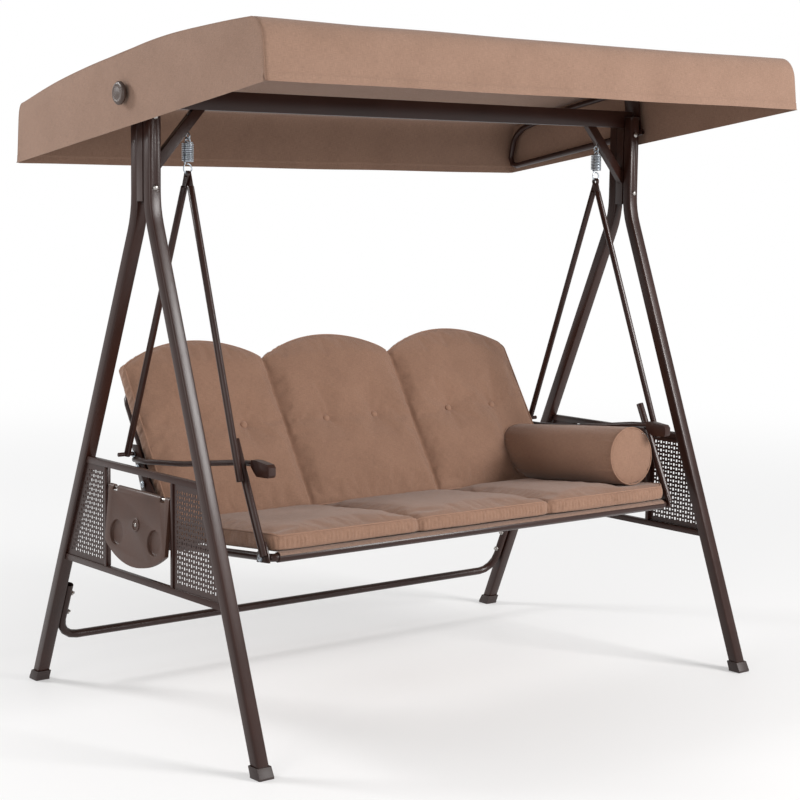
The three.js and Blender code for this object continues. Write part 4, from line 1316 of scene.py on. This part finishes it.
class SWING_OT_tubes(bpy.types.Operator):
    """Rounds, smooths and paints the tubes, plates and shoes of the frame"""

    bl_idname = "swing.tubes"
    bl_label = "Tubes and plates"

    def execute(self, context):
        skip = ("panel", "spring", "tray", "knob", "cushion", "sling", "pillow", "cover")
        widths = {"leg": 0.0011, "rail": 0.0013, "bar": 0.0012, "cap": 0.0022, "bolt": 0.0007}
        for node in sorted(frame["nodes"]):
            if any(word in node for word in skip) and not node.endswith(("tray_pin", "spring_eye")):
                continue
            width = next((size for word, size in widths.items() if word in node), 0.0012)
            self.finished(node, width)
        return {"FINISHED"}

    def finished(self, node, width):
        source = frame["nodes"][node]
        body = source["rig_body"]
        copy = source.copy()
        copy.data = source.data.copy()
        copy.name = f"{node}_finished"
        copy.parent = None
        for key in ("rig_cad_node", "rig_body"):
            del copy[key]
        bpy.context.scene.collection.objects.link(copy)
        only(copy)
        if copy.data.has_custom_normals:
            bpy.ops.mesh.customdata_custom_splitnormals_clear()
        edit(copy)
        bpy.ops.mesh.remove_doubles(threshold=2e-5)
        bpy.ops.mesh.dissolve_limited(angle_limit=math.radians(0.6), delimit={"NORMAL"})
        leave_edit()
        if node in ("canopy_left_frame", "canopy_right_frame"):
            self.lift_rear_corner(copy)
        round_edges(copy, width, 2, 24)
        smooth(copy, 35)
        slot = SLOT_OF[node]
        give(copy, body, slot, MATERIAL_OF_SLOT[slot](), [node])

    def lift_rear_corner(self, tube):
        """Raises the low rear corner of a canopy side frame behind the cover's hem."""
        raise_by, c, s = 0.026, math.cos(CANOPY_TILT), math.sin(CANOPY_TILT)
        for vertex in tube.data.vertices:
            off = vertex.co - PIVOT
            u, v = off.y * c - off.z * s, off.y * s + off.z * c
            lift = raise_by * smooth_step((u - 0.05) / 0.5) * smooth_step(-v / 0.06)
            vertex.co += Vector((0, lift * s, lift * c))


class SWING_OT_panels(bpy.types.Operator):
    """Punches the side panels from sheet: staggered square holes with small slots between"""

    bl_idname = "swing.panels"
    bl_label = "Perforated panels"

    def execute(self, context):
        for label, side in SIDES:
            for word, end in (("front", -1), ("rear", 1)):
                self.panel(f"{label}_{word}_panel", side, end)
        return {"FINISHED"}

    def panel(self, node, side, end):
        pitch = bpy.context.scene.swing_sizes.panel_pitch
        row_pitch = 0.013
        low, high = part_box(node)
        post_wide, margin, hole = 0.012, 0.013, 0.0069
        inner = high.y - post_wide if end < 0 else low.y + post_wide
        reach = (inner - low.y) if end < 0 else (high.y - inner)
        tall = high.z - low.z
        slope = LEG_SLOPE[end]
        deselect()
        columns, rows = round(reach / pitch), round(tall / row_pitch)
        bpy.ops.mesh.primitive_grid_add(x_subdivisions=columns, y_subdivisions=rows, size=1)
        sheet = named(f"{node}_sheet")
        sheet.data.transform(Matrix.Translation((0.5, 0.5, 0)))
        sheet.data.transform(Matrix.Diagonal((reach, tall, 1, 1)))

        def edge_at(height):
            return reach - slope * height - 0.001

        def cell(face):
            return int(face.center.x / reach * columns), int(face.center.y / tall * rows)

        def inside(centre):
            room = edge_at(centre.y + 0.006) - margin
            return margin * 0.6 < centre.x < room and margin < centre.y < tall - margin

        whole = 0.9 * reach / columns * tall / rows
        bpy.ops.object.mode_set(mode="EDIT")
        bpy.ops.mesh.select_mode(type="FACE")
        # the squares stand on the even cells, and the slots on the odd ones that are still whole
        for odd in (0, 1):
            bpy.ops.object.mode_set(mode="OBJECT")
            for face in sheet.data.polygons:
                fits = inside(face.center) and (not odd or face.area > whole)
                face.select = fits and sum(cell(face)) % 2 == odd
            bpy.ops.object.mode_set(mode="EDIT")
            bpy.ops.mesh.inset(thickness=(reach / columns - hole) / 2, use_individual=True)
            bpy.ops.object.mode_set(mode="OBJECT")
            if odd:
                for face in sheet.data.polygons:
                    if face.select:
                        for index in face.vertices:
                            place = sheet.data.vertices[index].co
                            place.y = face.center.y + (place.y - face.center.y) * 0.36
            bpy.ops.object.mode_set(mode="EDIT")
            bpy.ops.mesh.delete(type="FACE")
        bpy.ops.mesh.select_all(action="SELECT")
        bpy.ops.mesh.bisect(
            plane_co=(edge_at(0), 0, 0), plane_no=(1, slope, 0), clear_outer=True, use_fill=False
        )
        leave_edit()
        turn = Matrix(((0, 0, 1, 0), (end, 0, 0, 0), (0, 1, 0, 0), (0, 0, 0, 1)))
        x = side * (PANEL_X + 0.003)
        sheet.data.transform(Matrix.Translation((x, inner, low.z)) @ turn)
        apply_modifier(sheet, "SOLIDIFY", thickness=0.0016, offset=0)
        tidy_normals(sheet)
        # the post stands behind the sheet's inner edge at the front, and over that edge at the rear
        post_low = (side * PANEL_X - 0.008, inner, low.z)
        post_high = (side * PANEL_X + 0.008, inner + post_wide, high.z)
        post = block("post", post_low, post_high, 0.0015)
        panel = joined([sheet, post], f"{node}_sheet")
        smooth(panel, 30)
        give(panel, "frame", "frame_paint", paint_material(), [node])


class SWING_OT_springs(bpy.types.Operator):
    """Winds the two extension springs with their hooks and loops"""

    bl_idname = "swing.springs"
    bl_label = "Springs"

    def execute(self, context):
        wire_radius, coil, turns, cuts = 0.002, 0.0145, 11, 24
        top, bottom = 1.578, 1.5245
        hook, loop, loop_low = 0.007, 0.0125, 1.4945
        hook_top = 1.5888
        for label, _ in SIDES:
            middle_x = middle(f"{label}_spring").x
            y = HOOK_LINE.y
            points = []
            for step in range(13):
                angle = math.radians(-20 + 200 * step / 12)
                z = hook_top - hook + hook * math.sin(angle)
                points.append((middle_x + hook * math.cos(angle), y, z))
            for step in range(turns * cuts + 1):
                angle = math.pi + FULL_TURN * step / cuts
                share = step / (turns * cuts)
                grow = min(1.0, 0.55 + share * 8, 0.55 + (1 - share) * 8)
                points.append((
                    middle_x + coil * grow * math.cos(angle), y + coil * grow * math.sin(angle),
                    top - share * (top - bottom),
                ))
            for step in range(22):
                angle = math.radians(160 + 300 * step / 21)
                points.append((
                    middle_x + loop * math.cos(angle), y, loop_low + loop + loop * math.sin(angle),
                ))
            spring = wire(f"{label}_spring_wire", points, wire_radius, sides=3)
            spring.data.materials.clear()
            spring.data.materials.append(zinc_plate())
            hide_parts(f"{label}_spring")
            start, end = (middle_x, y, top + 0.002), (middle_x, y, bottom - 0.002)
            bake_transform(spring)
            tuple(start)
            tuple(end)
        return {"FINISHED"}


class SWING_OT_trays(bpy.types.Operator):
    """Moulds the folding trays: D-shaped plate, rim, two cup wells, middle boss and hinge barrel"""

    bl_idname = "swing.trays"
    bl_label = "Cup trays"

    def execute(self, context):
        for label, side in SIDES:
            self.tray(label, side)
        return {"FINISHED"}

    def tray(self, label, side):
        pin = Vector(JOINTS[f"{label}_tray_fold"]["pos_m"])
        low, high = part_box(f"{label}_tray")
        half = (high.y - low.y) / 2
        centre_y = (high.y + low.y) / 2
        straight, depth = 0.148, 0.200
        sagitta = depth - straight
        radius = (half**2 + sagitta**2) / (2 * sagitta)
        outer, rim, plate = 0.008, 0.012, 0.004
        deselect()
        # drawn flat: X is down from the pin, Y along it and Z outwards
        bpy.ops.mesh.primitive_circle_add(vertices=240, radius=radius, fill_type="NGON")
        tray = named(f"{label}_tray_moulding")
        tray.data.transform(Matrix.Translation((depth - radius, 0, 0)))
        edit(tray)
        cuts = (((0, half, 0), (0, 1, 0)), ((0, -half, 0), (0, -1, 0)), ((0, 0, 0), (-1, 0, 0)))
        for at, towards in cuts:
            bpy.ops.mesh.select_all(action="SELECT")
            bpy.ops.mesh.bisect(plane_co=at, plane_no=towards, clear_outer=True, use_fill=False)
        bpy.ops.mesh.select_all(action="SELECT")
        bpy.ops.mesh.dissolve_limited(angle_limit=math.radians(0.2))
        bpy.ops.mesh.select_all(action="SELECT")
        bpy.ops.mesh.extrude_region_move(TRANSFORM_OT_translate={"value": (0, 0, outer)})
        bpy.ops.mesh.select_all(action="SELECT")
        bpy.ops.mesh.normals_make_consistent(inside=False)
        pick_faces(tray, lambda centre, normal: normal.z < -0.9)
        bpy.ops.transform.translate(value=(0, 0, outer - rim))
        bpy.ops.mesh.inset(thickness=0.0035)
        bpy.ops.mesh.extrude_region_move(TRANSFORM_OT_translate={"value": (0, 0, rim - plate)})
        leave_edit()
        barrel = turned("barrel", [(0.0079, -half), (0.0079, half)], (0, 0, 0), (0, 1, 0), 32)
        boolean(tray, barrel, "UNION")
        for place in (-0.098, 0.098):
            at = (0.120, place, 0)
            cup = turned("cup", [(0.0365, -0.0035), (0.0365, outer - 0.001)], at, (0, 0, 1), 64)
            boolean(tray, cup, "UNION")
            wall = [(0.0295, -0.0008), (0.0325, 0.0004), (0.0335, 0.003), (0.0342, outer - 0.0012)]
            well = turned("well", [*wall, (0.0362, outer + 0.001)], at, (0, 0, 1), 64)
            boolean(tray, well, "DIFFERENCE")
        boss_at = (0.086, 0, 0)
        ring = [(0.0185, outer - 0.002), (0.0185, outer + 0.0018), (0.0172, outer + 0.0026)]
        boss = turned("boss", ring, boss_at, (0, 0, 1), 48)
        boolean(tray, boss, "UNION")
        hollow = [(0.0125, outer + 0.0004), (0.0145, outer + 0.004)]
        dish = turned("dish", hollow, boss_at, (0, 0, 1), 48)
        boolean(tray, dish, "DIFFERENCE")
        bore = turned("bore", [(0.0043, -half - 0.01), (0.0043, half + 0.01)], (0, 0, 0), (0, 1, 0), 24)
        boolean(tray, bore, "DIFFERENCE")
        for place in (-1, 1):
            gap_at = place * (half - 0.034)
            slot = block("gap", (-0.02, gap_at - 0.012, -0.02), (0.0085, gap_at + 0.012, 0.02), 0.0005)
            boolean(tray, slot, "DIFFERENCE")
        round_edges(tray, 0.0009, 3, 38)
        smooth(tray, 32)
        down = Matrix(((0, 0, side, 0), (0, 1, 0, 0), (-1, 0, 0, 0), (0, 0, 0, 1)))
        lean = Matrix.Rotation(-side * TRAY_LEAN, 4, "Y")
        seat = Matrix.Translation((pin.x, centre_y, pin.z)) @ lean @ down
        tray.data.transform(seat)
        if seat.to_3x3().determinant() < 0:
            tray.data.flip_normals()
        give(tray, f"{label}_tray", "tray_plastic", tray_plastic(), [f"{label}_tray"])
        head = [(0.0050, 0.0), (0.0050, 0.0012), (0.0042, 0.0022), (0.0024, 0.0028), (0.0006, 0.0030)]
        screw = turned(f"{label}_tray_screw", head, (0.086, 0, outer + 0.0004), (0, 0, 1), 24)
        screw.data.transform(seat)
        if seat.to_3x3().determinant() < 0:
            screw.data.flip_normals()
        smooth(screw, 50)
        give(screw, f"{label}_tray", "bolt_steel", bolt_steel())


class SWING_OT_knobs(bpy.types.Operator):
    """Turns the canopy's clamping knobs with their gripping flutes"""

    bl_idname = "swing.knobs"
    bl_label = "Knobs"

    def execute(self, context):
        profile = [
            (0.0048, -0.068), (0.0050, -0.0675), (0.0050, -0.0004), (0.0150, -0.0002),
            (0.0165, 0.001), (0.0170, 0.006), (0.0200, 0.0082), (0.0285, 0.0090), (0.0303, 0.0105),
            (0.0309, 0.0130), (0.0303, 0.0162), (0.0275, 0.0190), (0.0220, 0.0208), (0.0212, 0.0204),
            (0.0150, 0.0209), (0.0060, 0.0218), (0.0010, 0.0220),
        ]
        for label, side in SIDES:
            at = Vector(JOINTS[f"{label}_knob_turn"]["pos_m"]) + Vector((side * 0.0003, 0, 0))
            knob = turned(f"{label}_knob_turning", profile, at, (side, 0, 0), 72)
            flutes = 12
            for vertex in knob.data.vertices:
                out = Vector((0, vertex.co.y - at.y, vertex.co.z - at.z))
                grip = smooth_step((out.length - 0.026) / 0.004)
                angle = math.atan2(out.z, out.y)
                vertex.co -= out.normalized() * grip * 0.0011 * max(0.0, math.cos(flutes * angle)) ** 3
            knob.data.update()
            smooth(knob, 50)
            give(knob, f"{label}_knob", "knob_plastic", knob_plastic(), [f"{label}_knob"])
        return {"FINISHED"}


class SWING_OT_fasteners(bpy.types.Operator):
    """Adds the small bolts, nuts and plugs that dress the joints"""

    bl_idname = "swing.fasteners"
    bl_label = "Small fasteners"

    def execute(self, context):
        self.bar_bolts()
        self.seat_bolts()
        self.beam_plugs()
        return {"FINISHED"}

    def dome_bolt(self, name, at, side, radius):
        profile = [
            (radius * 1.45, 0.0), (radius * 1.45, 0.0010), (radius, 0.0012), (radius * 0.98, 0.0030),
            (radius * 0.75, 0.0046), (radius * 0.35, 0.0055), (radius * 0.08, 0.0057),
        ]
        bolt = turned(name, profile, at, (side, 0, 0), 28)
        smooth(bolt, 45)
        return give(bolt, "seat", "zinc", zinc_plate())

    def hex_nut(self, name, at, towards, radius, body):
        nut = turned(name, [(radius, 0.0), (radius, 0.0052), (radius * 0.86, 0.0060)], at, towards, 6)
        end = [(radius * 0.5, 0.0), (radius * 0.5, 0.0105), (radius * 0.42, 0.0112)]
        thread = turned(f"{name}_end", end, at, towards, 20)
        nut = joined([nut, thread], name)
        smooth(nut, 30)
        return give(nut, body, "bolt_steel", bolt_steel())

    def bar_bolts(self):
        """Two nuts on each turned-up end of the rear bar, towards the middle."""
        low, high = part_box("rear_lower_bar")
        tube = 0.0125
        slope = LEG_SLOPE[1]
        for label, side in SIDES:
            inner = side * (high.x - 2 * tube)
            for word, z in (("upper", 0.275), ("lower", 0.215)):
                y = high.y - tube - slope * (z - low.z - tube)
                at = (inner + side * 0.0012, y, z)
                self.hex_nut(f"{label}_{word}_bar_nut", at, (-side, 0, 0), 0.0078, "frame")

    def seat_bolts(self):
        """The bolts of the hangers' feet and plates."""
        for label, side in SIDES:
            at = (side * 0.7473, FRONT_RAIL.y + 0.032, FRONT_RAIL.z - 0.004)
            self.dome_bolt(f"{label}_foot_bolt", at, side, 0.0072)
            for number, up in enumerate((0.0, -0.0435, -0.0945), 1):
                place = back_point(0, up, 0)
                at = (side * 0.7503, place.y, place.z)
                self.dome_bolt(f"{label}_plate_bolt_{number}", at, side, 0.0070)

    def beam_plugs(self):
        """Plastic plugs that close the upper ends of the legs."""
        for label, side in SIDES:
            for word in ("front", "rear"):
                low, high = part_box(f"{label}_{word}_leg")
                y = high.y - 0.017 if word == "front" else low.y + 0.017
                x = (low.x + high.x) / 2
                plug = block(
                    f"{label}_{word}_leg_plug", (x - 0.0185, y - 0.0165, high.z - 0.006),
                    (x + 0.0185, y + 0.0165, high.z + 0.0028), 0.0018,
                )
                smooth(plug, 40)
                give(plug, "frame", "foot_plastic", foot_plastic())


# ---------- stage ----------


class SWING_OT_stage(bpy.types.Operator):
    """Sets the pale floor, the studio lights and the camera"""

    bl_idname = "swing.stage"
    bl_label = "Stage"

    def execute(self, context):
        self.floor()
        self.lights(context)
        self.camera(context)
        return {"FINISHED"}

    def floor(self):
        deselect()
        under = (0, 0, -0.0005)
        bpy.ops.mesh.primitive_circle_add(vertices=96, radius=30, fill_type="TRIFAN", location=under)
        ground = named("studio_floor")
        material, tree, shader = start_material("Studio floor", (0.9, 0.9, 0.9), 0.55)
        place = tree.nodes.new("ShaderNodeTexCoord").outputs["Object"]
        away = tree.nodes.new("ShaderNodeVectorMath")
        away.operation = "LENGTH"
        tree.links.new(place, away.inputs[0])
        share = maths(tree, "SMOOTH_MIN", maths(tree, "DIVIDE", away.outputs["Value"], 7.0), 1.0, 0.2)
        glow = tree.nodes.new("ShaderNodeEmission")
        glow.inputs["Color"].default_value = (1, 1, 1, 1)
        glow.inputs["Strength"].default_value = 1.0
        mix = tree.nodes.new("ShaderNodeMixShader")
        tree.links.new(maths(tree, "POWER", share, 0.6), mix.inputs["Fac"])
        tree.links.new(shader.outputs[0], mix.inputs[1])
        tree.links.new(glow.outputs[0], mix.inputs[2])
        tree.links.new(mix.outputs[0], tree.nodes["Material Output"].inputs["Surface"])
        ground.data.materials.append(material)

    def lights(self, context):
        world = bpy.data.worlds.new("Studio")
        context.scene.world = world
        world.use_nodes = True
        background = world.node_tree.nodes["Background"]
        background.inputs["Color"].default_value = (1, 1, 1, 1)
        rays = world.node_tree.nodes.new("ShaderNodeLightPath")
        strength = maths(world.node_tree, "MULTIPLY_ADD", rays.outputs["Is Camera Ray"], 0.52, 0.48)
        world.node_tree.links.new(strength, background.inputs["Strength"])
        lamps = (
            ("key", (2.8, -5.4, 3.2), (0, 0, 0.9), 2.2, 400, (1.0, 0.98, 0.97)),
            ("fill", (-4.8, -2.2, 2.0), (0, 0, 0.9), 2.0, 45, (1.0, 0.95, 0.92)),
            ("rim", (-3.4, 3.6, 3.4), (0, 0, 0.8), 1.4, 150, (1.0, 1.0, 1.0)),
        )
        for name, place, target, size, power, color in lamps:
            lamp = bpy.data.lights.new(name, "AREA")
            lamp.size = size
            lamp.energy = power
            lamp.color = color
            obj = bpy.data.objects.new(name, lamp)
            obj.location = place
            aim = Vector(target) - Vector(place)
            obj.rotation_euler = aim.to_track_quat("-Z", "Y").to_euler()
            context.scene.collection.objects.link(obj)
        context.scene.view_settings.view_transform = "Standard"

    def camera(self, context):
        lens = bpy.data.cameras.new("view")
        lens.lens = 83.667
        lens.sensor_width = 36
        lens.clip_end = 100
        camera = bpy.data.objects.new("view", lens)
        context.scene.collection.objects.link(camera)
        yaw, pitch, roll = math.radians(38.586), math.radians(6.473), math.radians(0.702)
        ahead = math.cos(pitch)
        forward = Vector((math.sin(yaw) * ahead, math.cos(yaw) * ahead, -math.sin(pitch)))
        level = Vector((math.cos(yaw), -math.sin(yaw), 0))
        upright = level.cross(forward)
        right = level * math.cos(roll) + upright * math.sin(roll)
        up = upright * math.cos(roll) - level * math.sin(roll)
        axes = Matrix((right, up, -forward)).transposed().to_4x4()
        camera.matrix_world = Matrix.Translation((-3.4236, -4.2597, 1.4600)) @ axes
        context.scene.camera = camera


class SWING_PT_panel(bpy.types.Panel):
    """Lists the swing's pieces, sizes and colours"""

    bl_idname = "SWING_PT_panel"
    bl_label = "Canopy swing"
    bl_space_type = "VIEW_3D"
    bl_region_type = "UI"
    bl_category = "Swing"

    def draw(self, context):
        layout = self.layout
        for group in (context.scene.swing_sizes, context.scene.swing_colors):
            for key in group.__annotations__:
                layout.prop(group, key)
        for operator in OPERATORS:
            layout.operator(operator.bl_idname)


OPERATORS = (
    SWING_OT_stage,
    SWING_OT_tubes,
    SWING_OT_panels,
    SWING_OT_springs,
    SWING_OT_trays,
    SWING_OT_knobs,
    SWING_OT_fasteners,
    SWING_OT_slings,
    SWING_OT_seat_pad,
    SWING_OT_back_pad,
    SWING_OT_bolster,
    SWING_OT_canopy,
)
CLASSES = (SwingColors, SwingSizes, *OPERATORS, SWING_PT_panel)


def register():
    for cls in CLASSES:
        bpy.utils.register_class(cls)
    bpy.types.Scene.swing_colors = PointerProperty(type=SwingColors)
    bpy.types.Scene.swing_sizes = PointerProperty(type=SwingSizes)


def unregister():
    del bpy.types.Scene.swing_sizes
    del bpy.types.Scene.swing_colors
    for cls in reversed(CLASSES):
        bpy.utils.unregister_class(cls)


def main():
    register()
    for operator in OPERATORS:
        group, name = operator.bl_idname.split(".")
        getattr(getattr(bpy.ops, group), name)()


if __name__ == "__main__":
    main()
